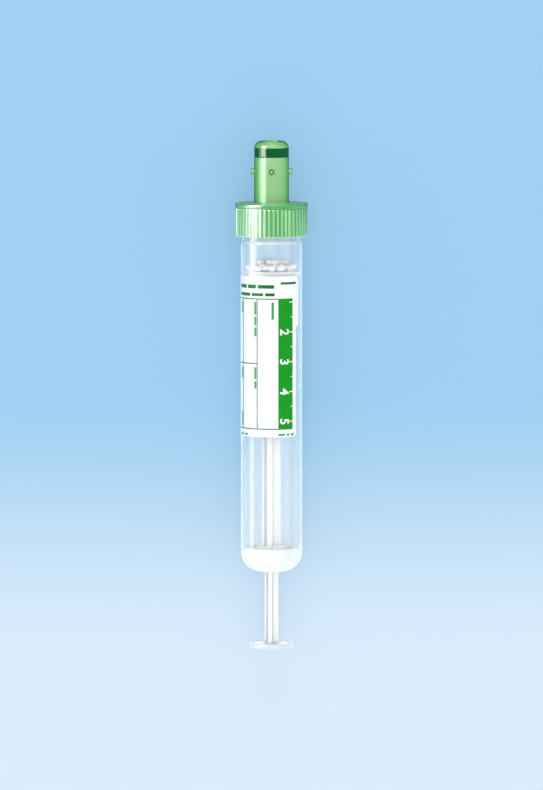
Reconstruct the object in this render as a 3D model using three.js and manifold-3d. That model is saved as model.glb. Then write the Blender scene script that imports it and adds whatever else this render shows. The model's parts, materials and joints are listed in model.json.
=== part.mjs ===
// A blood collection tube of the syringe kind, lying on its side.
//
// A clear barrel holds a piston, a layer of small loose beads in front of the
// piston, and a plunger rod that is pulled out through the rounded base. A
// screw cap with a pierceable rubber septum closes the mouth, and a paper
// label is wrapped round the barrel.
//
// All pieces are modelled in the tube's own frame, in millimetres: Z runs along
// the axis, from 0 at the outside of the base up to the cap, and +X points out
// through the middle of the label. The last group lays the tube down on Z = 0.

import * as THREE from 'three';
import { mergeVertices } from 'three/addons/utils/BufferGeometryUtils.js';
import Module from 'manifold-3d';

const wasm = await Module();
wasm.setup();

// ---------------------------------------------------------------- dimensions

const FACETS = 36;               // flats round a turned piece
const SEAT_GAP = 0.3;            // left where one piece is seated in or on another
const SLIDING_GAP = 0.2;         // left where one piece moves in another
const EDGE_BREAK = 0.2;          // bevel that takes the sharpness off an edge

const barrelRadius = 7.6;
const barrelLength = 90.2;       // base to mouth
const barrelWall = 1.05;
const barrelFloor = 1.1;
const baseRound = 4.9;           // radius of the edge of the base
const neckLength = 7.9;          // the turned-down end that carries the thread
const neckStep = 0.25;

const threadPitch = 3.0;
const threadTurns = 1.35;
const threadHeight = 0.55;
const threadFoot = 1.1;          // width of the ridge at the wall
const threadCrest = 0.5;         // width of the ridge at its top
const threadLead = 1.15;         // from the mouth to the ridge's upper end

const capWall = 0.65;
const capPlate = 1.55;
const capBareNeck = 1.5;         // neck left bare between the shoulder and the skirt
const capThreadLead = 0.8;       // from the skirt's edge to its ridge's lower end
const ribCount = 52;
const ribHeight = 0.28;
const ribCrestShare = 0.4;       // share of the rib pitch that is crest
const ribRootShare = 0.3;
const rimHeight = 1.1;
const rimRound = 0.3;
const plugLength = 4.0;          // ring under the cap that seals the mouth
const plugWall = 0.75;

const nozzleRadius = 4.3;
const nozzleLength = 15.35;
const nozzleWall = 1.1;
const nozzleMouthRadius = 2.1;
const nozzleTopRadius = 3.1;
const lugHeight = 7.85;          // lugs' centre above the cap's flange
const lugRadius = 0.75;
const lugReach = 0.95;
const lugCount = 4;

const ringWidth = 2.2;
const ringThickness = 0.45;
const ringDrop = 3.9;            // from the nozzle's end down to the ring's lower edge

const septumLength = 7.0;
const septumThickness = 2.8;     // pierced by the needle
const septumWall = 1.1;
const septumDepth = 3.1;         // from the nozzle's end down to its seat

const chamberLength = 15.0;      // mouth to piston
const pistonLength = 12.0;
const pistonLand = 1.2;          // end discs that hold the seal
const pistonLandClearance = 0.45;
const tailLength = 3.5;
const tailOverRod = 0.15;        // tail's radius beyond the rod's
const tailBarb = 0.25;
const sealThickness = 0.9;
const sealLipHeight = 0.35;
const sealLipWidth = 0.7;
const sealLipInset = 0.8;        // from the seal's end to the middle of its lip

const rodRadius = 2.35;          // tip radius of the rod's cross, inside the barrel
const rodBlade = 1.3;
const rodThinRadius = 1.7;       // and outside it
const rodThinBlade = 0.95;
const rodTurn = THREE.MathUtils.degToRad(-13);  // one blade stands this far off +X
const rodTaperStart = 3.0;
const rodTaperLength = 2.0;
const rodOutside = 18.05;        // base to thumb disc
const pinRadius = 1.2;           // joins the rod to the piston
const pinLength = 8.0;
const bulbRadius = 1.5;
const bulbLength = 2.0;
const notchOffset = 2.8;         // from the rod's end to the groove where it snaps off
const notchRadius = 1.15;
const notchWidth = 0.9;

const discRadius = 5.4;
const discThickness = 1.15;
const discRound = 0.35;

const insertHeight = 4.6;        // floor of the insert to its rim
const insertWall = 0.7;
const insertFloor = 1.0;
const collarWall = 1.0;
const collarRise = 0.5;          // collar above the rim
const collarSlot = 0.7;
const collarSlotFloor = 1.5;     // collar left whole below its slots
const webCount = 8;
const webThickness = 0.5;
const webDrop = 0.35;            // webs' top below the rim

const labelHeight = 40.0;
const labelThickness = 0.12;
const labelGap = 0.15;
const labelTopDrop = 1.0;        // label's top below the piston's face
const labelLeft = THREE.MathUtils.degToRad(-155);
const labelRight = THREE.MathUtils.degToRad(60);
const labelRightLow = THREE.MathUtils.degToRad(52);
const labelStepDrop = 12.5;      // from the label's top to the step in its edge

const beadCount = 50;
const beadRadius = 0.8;
const beadSpread = 0.08;         // how far the radius varies either way
const beadGap = 0.04;
const beadMound = 0.25;          // how strongly the heap draws in to its middle

// ------------------------------------------- sizes that follow from the above

const boreRadius = barrelRadius - barrelWall;
const neckRadius = barrelRadius - neckStep;
const shoulderZ = barrelLength - neckLength;
const mouthZ = barrelLength;

const skirtEdgeZ = shoulderZ + capBareNeck;
const plateZ = mouthZ + SEAT_GAP;
const flangeZ = plateZ + capPlate;
const rimZ = flangeZ - rimHeight;
const capBore = neckRadius + threadHeight + SLIDING_GAP;
const skirtRadius = capBore + capWall;
const rimRadius = skirtRadius + ribHeight;
const plugRadius = boreRadius - SLIDING_GAP;
const plugEdgeZ = plateZ - plugLength;
const nozzleZ = flangeZ + nozzleLength;
const nozzleBore = nozzleRadius - nozzleWall;

const pistonFaceZ = mouthZ - chamberLength;
const pistonBackZ = pistonFaceZ - pistonLength;
const tailEndZ = pistonBackZ - tailLength;
const rodEndZ = tailEndZ - SEAT_GAP;
const discZ = -rodOutside;

const sealOuter = boreRadius - SLIDING_GAP - sealLipHeight;
const sealInner = sealOuter - sealThickness;
const tailRadius = rodRadius + tailOverRod;

const insertZ = barrelFloor + SEAT_GAP;
const insertRimZ = insertZ + insertHeight;
const collarBore = tailRadius + SLIDING_GAP;

// ------------------------------------------------------------ helper functions

// A closed geometry as a solid that can be joined and cut.
function solid(geometry) {
  const bare = geometry.clone();
  bare.deleteAttribute('normal');
  bare.deleteAttribute('uv');
  const merged = mergeVertices(bare);
  const vertProperties = new Float32Array(merged.attributes.position.array);
  const corner = (k) => new THREE.Vector3().fromArray(vertProperties, 3 * k);
  const faces = [];
  let volume = 0;
  for (let i = 0; i < merged.index.count; i += 3) {
    const [a, b, c] = merged.index.array.slice(i, i + 3);
    if (a === b || b === c || c === a) continue;     // a sliver at a pole
    faces.push([a, b, c]);
    volume += corner(a).dot(corner(b).cross(corner(c)));
  }
  const outward = volume > 0 ? faces : faces.map(([a, b, c]) => [a, c, b]);
  const triVerts = new Uint32Array(outward.flat());
  return new wasm.Manifold(new wasm.Mesh({ numProp: 3, vertProperties, triVerts }));
}

// A solid turned back into a geometry, with flat facets.
function geometryOf(manifold) {
  const { vertProperties, triVerts, numProp } = manifold.getMesh();
  const corners = new Float32Array(3 * vertProperties.length / numProp);
  for (let k = 0; k < corners.length / 3; k += 1) {
    corners.set(vertProperties.subarray(numProp * k, numProp * k + 3), 3 * k);
  }
  const geometry = new THREE.BufferGeometry();
  geometry.setAttribute('position', new THREE.BufferAttribute(corners, 3));
  geometry.setIndex(Array.from(triVerts));
  const flat = geometry.toNonIndexed();
  flat.computeVertexNormals();
  return flat;
}

function named(name, manifold, look) {
  const mesh = new THREE.Mesh(geometryOf(manifold), new THREE.MeshStandardMaterial(look));
  mesh.name = name;
  return mesh;
}

// A profile of [radius, z] points turned round Z, with the middle of a flat at -X.
function turned(profile, facets = FACETS) {
  const points = profile.map(([r, z]) => new THREE.Vector2(r, z));
  if (points[0].x > 0) points.push(points[0].clone());
  const geometry = new THREE.LatheGeometry(points, facets, Math.PI / facets);
  return solid(geometry.rotateX(Math.PI / 2));
}

// Points of a quarter ellipse round [r, z], from angle a to angle b.
function arc(r, z, reachR, reachZ, a, b, steps = 6) {
  return Array.from({ length: steps + 1 }, (_, i) => {
    const angle = a + (b - a) * i / steps;
    return [r + reachR * Math.cos(angle), z + reachZ * Math.sin(angle)];
  });
}

// A flat outline carried up Z from one height to another.
function raised(shape, fromZ, toZ, curveSegments = 8) {
  const options = { depth: toZ - fromZ, bevelEnabled: false, curveSegments };
  return solid(new THREE.ExtrudeGeometry(shape, options).translate(0, 0, fromZ));
}

// A block between two heights that reaches out along one direction.
function block(fromR, toR, width, fromZ, toZ, angle) {
  const geometry = new THREE.BoxGeometry(toR - fromR, width, toZ - fromZ);
  geometry.translate((fromR + toR) / 2, 0, (fromZ + toZ) / 2).rotateZ(angle);
  return solid(geometry);
}

const join = (pieces) => pieces.reduce((sum, piece) => sum.add(piece));

// A plus-shaped outline with rounded tips, turned to the rod's angle.
function crossShape(radius, blade) {
  const half = blade / 2;
  const tip = Math.asin(half / radius);
  const shape = new THREE.Shape();
  for (let side = 0; side < 4; side += 1) {
    const out = rodTurn + side * Math.PI / 2;
    const valley = out + Math.PI / 4;
    if (side === 0) shape.moveTo(radius * Math.cos(out - tip), radius * Math.sin(out - tip));
    shape.absarc(0, 0, radius, out - tip, out + tip, false);
    shape.lineTo(half * Math.SQRT2 * Math.cos(valley), half * Math.SQRT2 * Math.sin(valley));
  }
  shape.closePath();
  return shape;
}

// A right-hand screw ridge: a trapezoid that climbs one pitch a turn and sinks
// back into the wall at both ends. `crest` may lie outside or inside `root`.
function screwRidge({ root, crest, startZ, startAngle }) {
  const steps = Math.round(threadTurns * FACETS);
  const fade = FACETS / 9;
  const inWall = root + 0.2 * Math.sign(root - crest);
  const hidden = root + 0.1 * Math.sign(root - crest);
  const positions = [];
  for (let i = 0; i <= steps; i += 1) {
    const turn = threadTurns * i / steps;
    const angle = startAngle + 2 * Math.PI * turn;
    const z = startZ + threadPitch * turn;
    const top = THREE.MathUtils.lerp(hidden, crest, Math.min(1, i / fade, (steps - i) / fade));
    for (const [r, dz] of [[inWall, -threadFoot / 2], [top, -threadCrest / 2],
      [top, threadCrest / 2], [inWall, threadFoot / 2]]) {
      positions.push(r * Math.cos(angle), r * Math.sin(angle), z + dz);
    }
  }
  const index = [0, 1, 2, 0, 2, 3];
  for (let i = 0; i < steps; i += 1) {
    for (let k = 0; k < 4; k += 1) {
      const [a, b] = [4 * i + k, 4 * i + (k + 1) % 4];
      index.push(a, a + 4, b, b, a + 4, b + 4);
    }
  }
  const last = 4 * steps;
  index.push(last, last + 2, last + 1, last, last + 3, last + 2);
  const geometry = new THREE.BufferGeometry();
  geometry.setAttribute('position', new THREE.Float32BufferAttribute(positions, 3));
  geometry.setIndex(index);
  return solid(geometry);
}

// ---------------------------------------------------------------------- pieces

const threadStartZ = mouthZ - threadLead - threadPitch * threadTurns;

// The clear barrel: a round-based tube with a hole for the rod and a screw neck.
function barrel() {
  const flat = barrelRadius - baseRound;
  const hole = rodRadius + SLIDING_GAP;
  const body = turned([
    [0, 0],
    ...arc(flat, baseRound, baseRound, baseRound, -Math.PI / 2, 0),
    [barrelRadius, shoulderZ], [neckRadius, shoulderZ + neckStep],
    [neckRadius, mouthZ - EDGE_BREAK], [neckRadius - EDGE_BREAK, mouthZ],
    [boreRadius + EDGE_BREAK, mouthZ], [boreRadius, mouthZ - EDGE_BREAK],
    ...arc(flat, baseRound, baseRound - barrelWall, baseRound - barrelFloor, 0, -Math.PI / 2),
    [0, barrelFloor],
  ]);
  const rodHole = turned([[0, -1], [hole, -1], [hole, baseRound], [0, baseRound]]);
  return body.subtract(rodHole).add(screwRidge({
    root: neckRadius, crest: neckRadius + threadHeight, startZ: threadStartZ, startAngle: 0,
  }));
}

// The white insert in the base: it guides the rod, and its slotted collar takes
// the piston's tail when the plunger has been pulled right out.
function guideInsert() {
  const flat = barrelRadius - baseRound;
  const outer = boreRadius - SEAT_GAP;
  const inner = outer - insertWall;
  const floorZ = insertZ + insertFloor;
  const collarRadius = collarBore + collarWall;
  const collarTopZ = insertRimZ + collarRise;
  const footZ = insertZ + insertFloor / 2;
  const underside = [
    [0, insertZ], ...arc(flat, baseRound, outer - flat, baseRound - insertZ, -Math.PI / 2, 0),
  ];
  const cup = turned([
    ...underside, [outer, insertRimZ], [inner, insertRimZ],
    ...arc(flat, baseRound, inner - flat, baseRound - floorZ, 0, -Math.PI / 2, 4), [0, floorZ],
  ]);
  const collar = turned([
    [collarBore, footZ], [collarRadius, footZ], [collarRadius, collarTopZ - EDGE_BREAK],
    [collarRadius - EDGE_BREAK, collarTopZ], [collarBore, collarTopZ],
  ]);
  const webs = Array.from({ length: webCount }, (_, i) => block(
    collarRadius - collarWall / 2, outer - insertWall / 2, webThickness,
    footZ, insertRimZ - webDrop, 2 * Math.PI * (i + 0.5) / webCount,
  ));
  // Web ends that would poke out through the round of the base are trimmed off.
  const envelope = turned([...underside, [outer, collarTopZ + 1], [0, collarTopZ + 1]]);
  const slots = Array.from({ length: 2 }, (_, i) => block(
    -collarRadius - 1, collarRadius + 1, collarSlot,
    floorZ + collarSlotFloor, collarTopZ + 1, Math.PI * i / 2,
  ).intersect(turned([[0, 0], [inner, 0], [inner, collarTopZ + 2], [0, collarTopZ + 2]])));
  const guide = crossShape(rodRadius + SLIDING_GAP, rodBlade + 2 * SLIDING_GAP);
  return join([cup, collar, ...webs]).intersect(envelope)
    .subtract(join(slots)).subtract(raised(guide, insertZ - 1, floorZ + 1));
}

// The paper label, open at the back, with a step in its right-hand edge.
function label() {
  const inner = barrelRadius + labelGap;
  const outer = inner + labelThickness;
  const topZ = pistonFaceZ - labelTopDrop;
  const sector = (fromR, toR, from, to) => {
    const shape = new THREE.Shape();
    shape.absarc(0, 0, toR, from, to, false);
    shape.absarc(0, 0, fromR, to, from, true);
    shape.closePath();
    return shape;
  };
  const steps = Math.ceil((labelRight - labelLeft) / (2 * Math.PI / FACETS));
  const sheet = raised(sector(inner, outer, labelLeft, labelRight), topZ - labelHeight, topZ, steps);
  const beyond = labelRight + 2 * Math.PI / FACETS;
  const corner = sector(inner - 1, outer + 1, labelRightLow, beyond);
  return sheet.subtract(raised(corner, topZ - labelHeight - 1, topZ - labelStepDrop));
}

// The cap's grip: fine upright ribs round the skirt.
function ribs() {
  const shape = new THREE.Shape();
  const pitch = 2 * Math.PI / ribCount;
  const crest = pitch * ribCrestShare / 2;
  const foot = pitch * (1 - ribRootShare) / 2;
  for (let i = 0; i < ribCount; i += 1) {
    const middle = Math.PI + pitch * (i + 0.5);      // -X lies between two ribs
    for (const [r, angle] of [[skirtRadius, middle - foot], [rimRadius, middle - crest],
      [rimRadius, middle + crest], [skirtRadius, middle + foot]]) {
      if (i === 0 && angle < middle - crest) shape.moveTo(r * Math.cos(angle), r * Math.sin(angle));
      else shape.lineTo(r * Math.cos(angle), r * Math.sin(angle));
    }
  }
  shape.closePath();
  shape.holes.push(new THREE.Path().absarc(0, 0, capBore + capWall / 2, 0, 2 * Math.PI, true));
  return raised(shape, skirtEdgeZ, rimZ, FACETS);
}

// A short round peg that stands out of the nozzle along +X, with a blunt end.
function lug() {
  const tip = nozzleRadius + lugReach;
  const peg = new THREE.LatheGeometry([
    [0, nozzleRadius - nozzleWall / 2], [lugRadius, nozzleRadius - nozzleWall / 2],
    [lugRadius, tip - EDGE_BREAK], [lugRadius - EDGE_BREAK, tip], [0, tip],
  ].map(([r, y]) => new THREE.Vector2(r, y)), 12);
  return peg.rotateZ(-Math.PI / 2).translate(0, 0, flangeZ + lugHeight);
}

// The screw cap: ribbed skirt, flange, and the nozzle that takes a needle holder.
function screwCap() {
  const ringTopZ = nozzleZ - ringDrop + ringWidth + SEAT_GAP;
  const ringLowZ = nozzleZ - ringDrop - SEAT_GAP;
  const groove = nozzleRadius - ringThickness - SEAT_GAP;
  const body = turned([
    [capBore, skirtEdgeZ], [skirtRadius, skirtEdgeZ], [skirtRadius, rimZ],
    [rimRadius - rimRound / 2, rimZ], [rimRadius, rimZ + rimRound],
    ...arc(rimRadius - rimRound, flangeZ - rimRound, rimRound, rimRound, 0, Math.PI / 2, 3),
    [nozzleRadius + EDGE_BREAK, flangeZ], [nozzleRadius, flangeZ + EDGE_BREAK],
    [nozzleRadius, ringLowZ], [groove, ringLowZ], [groove, ringTopZ], [nozzleRadius, ringTopZ],
    ...arc(nozzleTopRadius, ringTopZ, nozzleRadius - nozzleTopRadius, nozzleZ - ringTopZ,
      0, Math.PI / 2, 4).slice(1),
    [nozzleMouthRadius, nozzleZ], [nozzleMouthRadius, nozzleZ - septumDepth],
    [nozzleBore, nozzleZ - septumDepth], [nozzleBore, flangeZ],
    [plugRadius - plugWall, plateZ], [plugRadius - plugWall, plugEdgeZ],
    [plugRadius - EDGE_BREAK, plugEdgeZ], [plugRadius, plugEdgeZ + 2 * EDGE_BREAK],
    [plugRadius, plateZ], [capBore, plateZ],
  ]);
  const startZ = skirtEdgeZ + capThreadLead;
  // The cap's ridge runs in the middle of the groove that the barrel's leaves.
  const climb = startZ - (threadStartZ - threadPitch / 2);
  const thread = screwRidge({
    root: capBore, crest: neckRadius + SLIDING_GAP, startZ,
    startAngle: 2 * Math.PI * climb / threadPitch,
  });
  const lugs = Array.from({ length: lugCount }, (_, i) => (
    solid(lug().rotateZ(2 * Math.PI * i / lugCount))));
  return join([body, ribs(), thread, ...lugs]);
}

// The dark ring let into the nozzle, flush with it.
function neckRing() {
  const lowZ = nozzleZ - ringDrop;
  const inner = nozzleRadius - ringThickness;
  return turned([
    [inner, lowZ], [nozzleRadius, lowZ], [nozzleRadius, lowZ + ringWidth],
    [inner, lowZ + ringWidth],
  ]);
}

// The rubber septum: a plug in the nozzle that the needle pierces, hollow below.
function septum() {
  const topZ = nozzleZ - septumDepth - SEAT_GAP;
  const radius = nozzleBore - SEAT_GAP;
  return turned([
    [0, topZ - septumThickness], [radius - septumWall, topZ - septumThickness],
    [radius - septumWall, topZ - septumLength], [radius, topZ - septumLength],
    [radius, topZ], [0, topZ],
  ]);
}

// The piston: two discs on a core, a short barbed tail, and a socket for the rod.
function pistonBody() {
  const disc = boreRadius - pistonLandClearance;
  const core = sealInner - SEAT_GAP;
  const socketTopZ = rodEndZ + pinLength + bulbLength + SEAT_GAP;
  const bulbZ = rodEndZ + pinLength - SEAT_GAP;
  const socket = pinRadius + SEAT_GAP;
  const bulb = bulbRadius + SEAT_GAP;
  return turned([
    [0, socketTopZ], [bulb, socketTopZ - EDGE_BREAK], [bulb, bulbZ],
    [socket, bulbZ - EDGE_BREAK],
    [socket, tailEndZ], [tailRadius - tailBarb, tailEndZ],
    [tailRadius, tailEndZ + 2 * tailBarb], [tailRadius - tailBarb, tailEndZ + 4 * tailBarb],
    [tailRadius - tailBarb, pistonBackZ], [disc, pistonBackZ],
    [disc, pistonBackZ + pistonLand], [core, pistonBackZ + pistonLand],
    [core, pistonFaceZ - pistonLand], [disc, pistonFaceZ - pistonLand],
    [disc, pistonFaceZ - EDGE_BREAK], [disc - EDGE_BREAK, pistonFaceZ], [0, pistonFaceZ],
  ]);
}

// The soft sleeve round the piston's core, with a lip near each end.
function pistonSeal() {
  const lowZ = pistonBackZ + pistonLand + SEAT_GAP;
  const topZ = pistonFaceZ - pistonLand - SEAT_GAP;
  const lipRadius = sealOuter + sealLipHeight;
  const lip = (z) => [
    [sealOuter, z - sealLipWidth], [lipRadius, z - sealLipWidth / 4],
    [lipRadius, z + sealLipWidth / 4], [sealOuter, z + sealLipWidth],
  ];
  return turned([
    [sealInner, lowZ], [sealOuter, lowZ], ...lip(lowZ + sealLipInset),
    ...lip(topZ - sealLipInset), [sealOuter, topZ], [sealInner, topZ],
  ]);
}

// The plunger rod: thumb disc, cross-shaped stem, snap-off groove and head.
function plungerRod() {
  const overlap = 0.3;
  const disc = turned([
    [0, discZ - discThickness], [discRadius - discRound, discZ - discThickness],
    [discRadius, discZ - discThickness + discRound], [discRadius, discZ - discRound],
    [discRadius - discRound, discZ], [0, discZ],
  ]);
  const thin = raised(crossShape(rodThinRadius, rodThinBlade),
    discZ - overlap, rodTaperStart + rodTaperLength, 3);
  const thick = raised(crossShape(rodRadius, rodBlade), rodTaperStart, rodEndZ, 3);
  const taper = turned([
    [0, rodTaperStart - 1], [rodThinRadius, rodTaperStart - 1], [rodThinRadius, rodTaperStart],
    [rodRadius, rodTaperStart + rodTaperLength], [rodRadius + 1, rodTaperStart + rodTaperLength],
    [rodRadius + 1, rodEndZ + 1], [0, rodEndZ + 1],
  ]);
  const notchZ = rodEndZ - notchOffset;
  const pinTopZ = rodEndZ + pinLength;
  const headTopZ = pinTopZ + bulbLength;
  const notch = turned([
    [notchRadius, notchZ], [rodRadius + 1, notchZ - notchWidth], [rodRadius + 1, notchZ + notchWidth],
  ]);
  const head = turned([
    [0, rodEndZ - overlap], [pinRadius, rodEndZ - overlap], [pinRadius, pinTopZ - EDGE_BREAK],
    [bulbRadius, pinTopZ], [bulbRadius, headTopZ - 2 * EDGE_BREAK],
    [bulbRadius - 2 * EDGE_BREAK, headTopZ], [0, headTopZ],
  ], 16);
  return join([disc, thin, thick.intersect(taper).subtract(notch), head]);
}

// The loose beads in front of the piston. Each one goes to the lowest free place
// among spots spread over the bore. The first layer fills from the wall inwards,
// and the rest heap up in the middle.
function beads() {
  const spotCount = 1000;
  const spots = Array.from({ length: spotCount }, (_, i) => {
    const angle = i * Math.PI * (3 - Math.sqrt(5));
    const share = Math.sqrt((i + 0.5) / spotCount);
    return new THREE.Vector2(Math.cos(angle), Math.sin(angle)).multiplyScalar(share);
  });
  const secondLayerZ = pistonFaceZ + 1.6 * beadRadius;
  const placed = [];
  for (let n = 0; n < beadCount; n += 1) {
    const radius = beadRadius + beadSpread * Math.sin(2.4 * n);
    const reach = boreRadius - SLIDING_GAP - radius;
    const options = spots.map((spot) => {
      const at = spot.clone().multiplyScalar(reach);
      const heights = placed.map((other) => {
        const apart = other.radius + radius + beadGap;
        const aside = Math.hypot(at.x - other.x, at.y - other.y);
        return aside < apart ? other.z + Math.sqrt(apart ** 2 - aside ** 2) : 0;
      });
      const z = Math.max(pistonFaceZ + beadGap + radius, ...heights);
      const inward = z > secondLayerZ ? beadMound : -beadMound;
      return { x: at.x, y: at.y, z, radius, cost: z + inward * at.length() };
    });
    placed.push(options.reduce((best, spot) => (spot.cost < best.cost ? spot : best)));
  }
  return placed;
}

// ------------------------------------------------------------------- the model

const tube = new THREE.Group();
const clear = { color: 0xdcebf7, roughness: 0.1, transparent: true, opacity: 0.35 };
const green = { color: 0x7cc487, roughness: 0.35 };
const darkGreen = { color: 0x02622f, roughness: 0.35 };
const white = { color: 0xf4f6f6, roughness: 0.4 };
const softWhite = { color: 0xeceff0, roughness: 0.7 };
const greyRubber = { color: 0x9aa39c, roughness: 0.8 };
const paper = { color: 0xfbfcfa, roughness: 0.6 };

tube.add(
  named('barrel', barrel(), clear),
  named('guide_insert', guideInsert(), white),
  named('label', label(), paper),
  named('screw_cap', screwCap(), green),
  named('neck_ring', neckRing(), darkGreen),
  named('septum', septum(), greyRubber),
  named('piston_body', pistonBody(), white),
  named('piston_seal', pistonSeal(), softWhite),
  named('plunger_rod', plungerRod(), white),
);
beads().forEach(({ x, y, z, radius }, i) => {
  const ball = new THREE.OctahedronGeometry(radius, 1).translate(x, y, z);
  tube.add(named(`bead_${String(i + 1).padStart(2, '0')}`, solid(ball), white));
});

// Lying down, the tube rests on the edge of the cap's skirt and on the barrel just
// above its rounded base, so that its axis climbs a little towards the cap.
const ribNearest = Math.PI / ribCount * (1 - ribCrestShare);
const capRest = rimRadius * Math.cos(ribNearest);
const barrelRest = barrelRadius * Math.cos(Math.PI / FACETS);
const tilt = Math.atan((capRest - barrelRest) / (skirtEdgeZ - baseRound));
const up = new THREE.Vector3(-Math.sin(tilt), 0, Math.cos(tilt));
const side = new THREE.Vector3(0, -1, 0);
const along = new THREE.Vector3(Math.cos(tilt), 0, Math.sin(tilt));
tube.quaternion.setFromRotationMatrix(new THREE.Matrix4().makeBasis(up, side, along));

// The origin is under the middle of the lying tube.
const box = new THREE.Box3().setFromObject(tube, true);
const middle = box.getCenter(new THREE.Vector3());
tube.position.set(-middle.x, -middle.y, -box.min.z);

const model = new THREE.Group();
model.add(tube);

export default model;
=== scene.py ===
# %% [markdown]
# # A blood collection tube, lying on its side
#
# The tube is a clear plastic barrel with a white insert in its round base, a
# piston on a pull-out rod, a paper label and a green screw cap. Its CAD model is
# made of flat facets. It says where everything is and how it moves, and this
# script gives every piece its real roundness and finish. Loading the packed
# model comes first, because every place below is measured on it.
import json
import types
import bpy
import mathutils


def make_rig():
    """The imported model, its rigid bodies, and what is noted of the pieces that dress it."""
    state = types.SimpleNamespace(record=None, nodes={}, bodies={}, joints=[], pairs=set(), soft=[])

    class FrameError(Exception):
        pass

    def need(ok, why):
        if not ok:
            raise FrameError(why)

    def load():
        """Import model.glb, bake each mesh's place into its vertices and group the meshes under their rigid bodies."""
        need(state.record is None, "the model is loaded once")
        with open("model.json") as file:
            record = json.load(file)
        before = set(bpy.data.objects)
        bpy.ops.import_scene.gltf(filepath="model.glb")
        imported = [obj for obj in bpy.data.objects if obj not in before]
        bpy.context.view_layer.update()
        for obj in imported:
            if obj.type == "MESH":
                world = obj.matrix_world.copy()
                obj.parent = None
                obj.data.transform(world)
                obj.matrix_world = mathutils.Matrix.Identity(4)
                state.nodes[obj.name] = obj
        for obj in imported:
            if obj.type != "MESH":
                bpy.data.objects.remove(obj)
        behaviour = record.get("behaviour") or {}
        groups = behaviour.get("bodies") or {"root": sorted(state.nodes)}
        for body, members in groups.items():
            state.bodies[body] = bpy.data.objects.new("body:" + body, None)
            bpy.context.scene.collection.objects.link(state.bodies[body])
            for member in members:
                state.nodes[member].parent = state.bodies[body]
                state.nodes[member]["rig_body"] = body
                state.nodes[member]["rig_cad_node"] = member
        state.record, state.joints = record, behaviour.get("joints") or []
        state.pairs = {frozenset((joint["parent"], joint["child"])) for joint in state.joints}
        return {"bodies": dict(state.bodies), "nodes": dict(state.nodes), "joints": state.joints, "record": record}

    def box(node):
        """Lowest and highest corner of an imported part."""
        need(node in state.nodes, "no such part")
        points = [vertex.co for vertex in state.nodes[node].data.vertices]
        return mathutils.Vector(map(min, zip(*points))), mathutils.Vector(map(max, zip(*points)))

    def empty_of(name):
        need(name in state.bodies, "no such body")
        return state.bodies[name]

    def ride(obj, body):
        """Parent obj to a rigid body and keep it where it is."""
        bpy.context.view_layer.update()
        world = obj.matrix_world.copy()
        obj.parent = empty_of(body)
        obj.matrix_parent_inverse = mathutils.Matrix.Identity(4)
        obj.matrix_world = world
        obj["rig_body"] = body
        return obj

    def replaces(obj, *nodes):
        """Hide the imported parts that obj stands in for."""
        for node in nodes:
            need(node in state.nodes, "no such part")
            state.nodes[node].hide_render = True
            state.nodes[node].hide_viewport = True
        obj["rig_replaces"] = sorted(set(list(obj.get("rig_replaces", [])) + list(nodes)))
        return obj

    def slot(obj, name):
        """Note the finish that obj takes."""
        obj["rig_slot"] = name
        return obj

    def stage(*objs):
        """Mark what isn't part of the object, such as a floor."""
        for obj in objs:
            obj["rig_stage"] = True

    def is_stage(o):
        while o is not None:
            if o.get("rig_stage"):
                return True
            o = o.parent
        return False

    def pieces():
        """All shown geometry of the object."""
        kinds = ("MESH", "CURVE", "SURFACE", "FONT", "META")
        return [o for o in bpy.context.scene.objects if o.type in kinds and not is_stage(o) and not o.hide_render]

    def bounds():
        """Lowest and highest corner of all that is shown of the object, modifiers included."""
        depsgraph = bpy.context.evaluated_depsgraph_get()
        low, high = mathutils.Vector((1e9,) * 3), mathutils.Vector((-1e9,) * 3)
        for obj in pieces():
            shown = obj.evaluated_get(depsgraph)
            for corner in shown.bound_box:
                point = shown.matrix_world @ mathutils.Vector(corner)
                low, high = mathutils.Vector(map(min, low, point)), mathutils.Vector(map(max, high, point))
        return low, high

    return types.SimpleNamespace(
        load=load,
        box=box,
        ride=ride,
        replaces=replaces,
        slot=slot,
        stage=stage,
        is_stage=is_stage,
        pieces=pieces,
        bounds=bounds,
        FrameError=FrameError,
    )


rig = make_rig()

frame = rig.load()
cad_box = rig.bounds()

import json
import math
from types import SimpleNamespace

import bpy
import numpy as np
from mathutils import Matrix, Vector

print(f"{len(frame['nodes'])} CAD nodes on {len(frame['bodies'])} bodies")

# %% [markdown]
# ## The tube's own axes
#
# The cap is wider than the barrel, so the lying tube climbs a little towards it.
# A turned piece is easier to think about along its own axis, so every shape below
# is made in the tube's own millimetres: x points out through the middle of the
# label, y to the right of the label's reader, and z runs along the axis from the
# outside of the base to the cap. The cap's joint already knows that axis, and
# `place` turns tube millimetres into the scene's metres in one matrix product.
# `in_tube` is the way back.

# %% Tube coordinates
MM = 0.001
joints = {joint["name"]: joint for joint in frame["joints"]}
hub = np.array(joints["cap_turn"]["pos_m"], float)
along = np.array(joints["cap_turn"]["axis"], float)
along /= np.linalg.norm(along)
rightward = np.array([0.0, -1.0, 0.0])
outward = np.cross(rightward, along)
tube_axes = np.array([outward, rightward, along])


def corners_of(node):
    """A CAD node's vertices as rows of x, y, z, in metres."""
    mesh = frame["nodes"][node].data
    flat = np.empty(3 * len(mesh.vertices), np.float32)
    mesh.vertices.foreach_get("co", flat)
    return flat.reshape(-1, 3).astype(float)


base = hub + along * ((corners_of("barrel") - hub) @ along).min()


def place(x, y, z):
    """Tube millimetres as scene metres: base + x outward + y rightward + z along."""
    return base + MM * np.stack(np.broadcast_arrays(x, y, z), -1) @ tube_axes


def in_tube(points):
    """Scene metres as three rows of tube millimetres: x, y and z."""
    return ((points - base) @ tube_axes.T / MM).T


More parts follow.
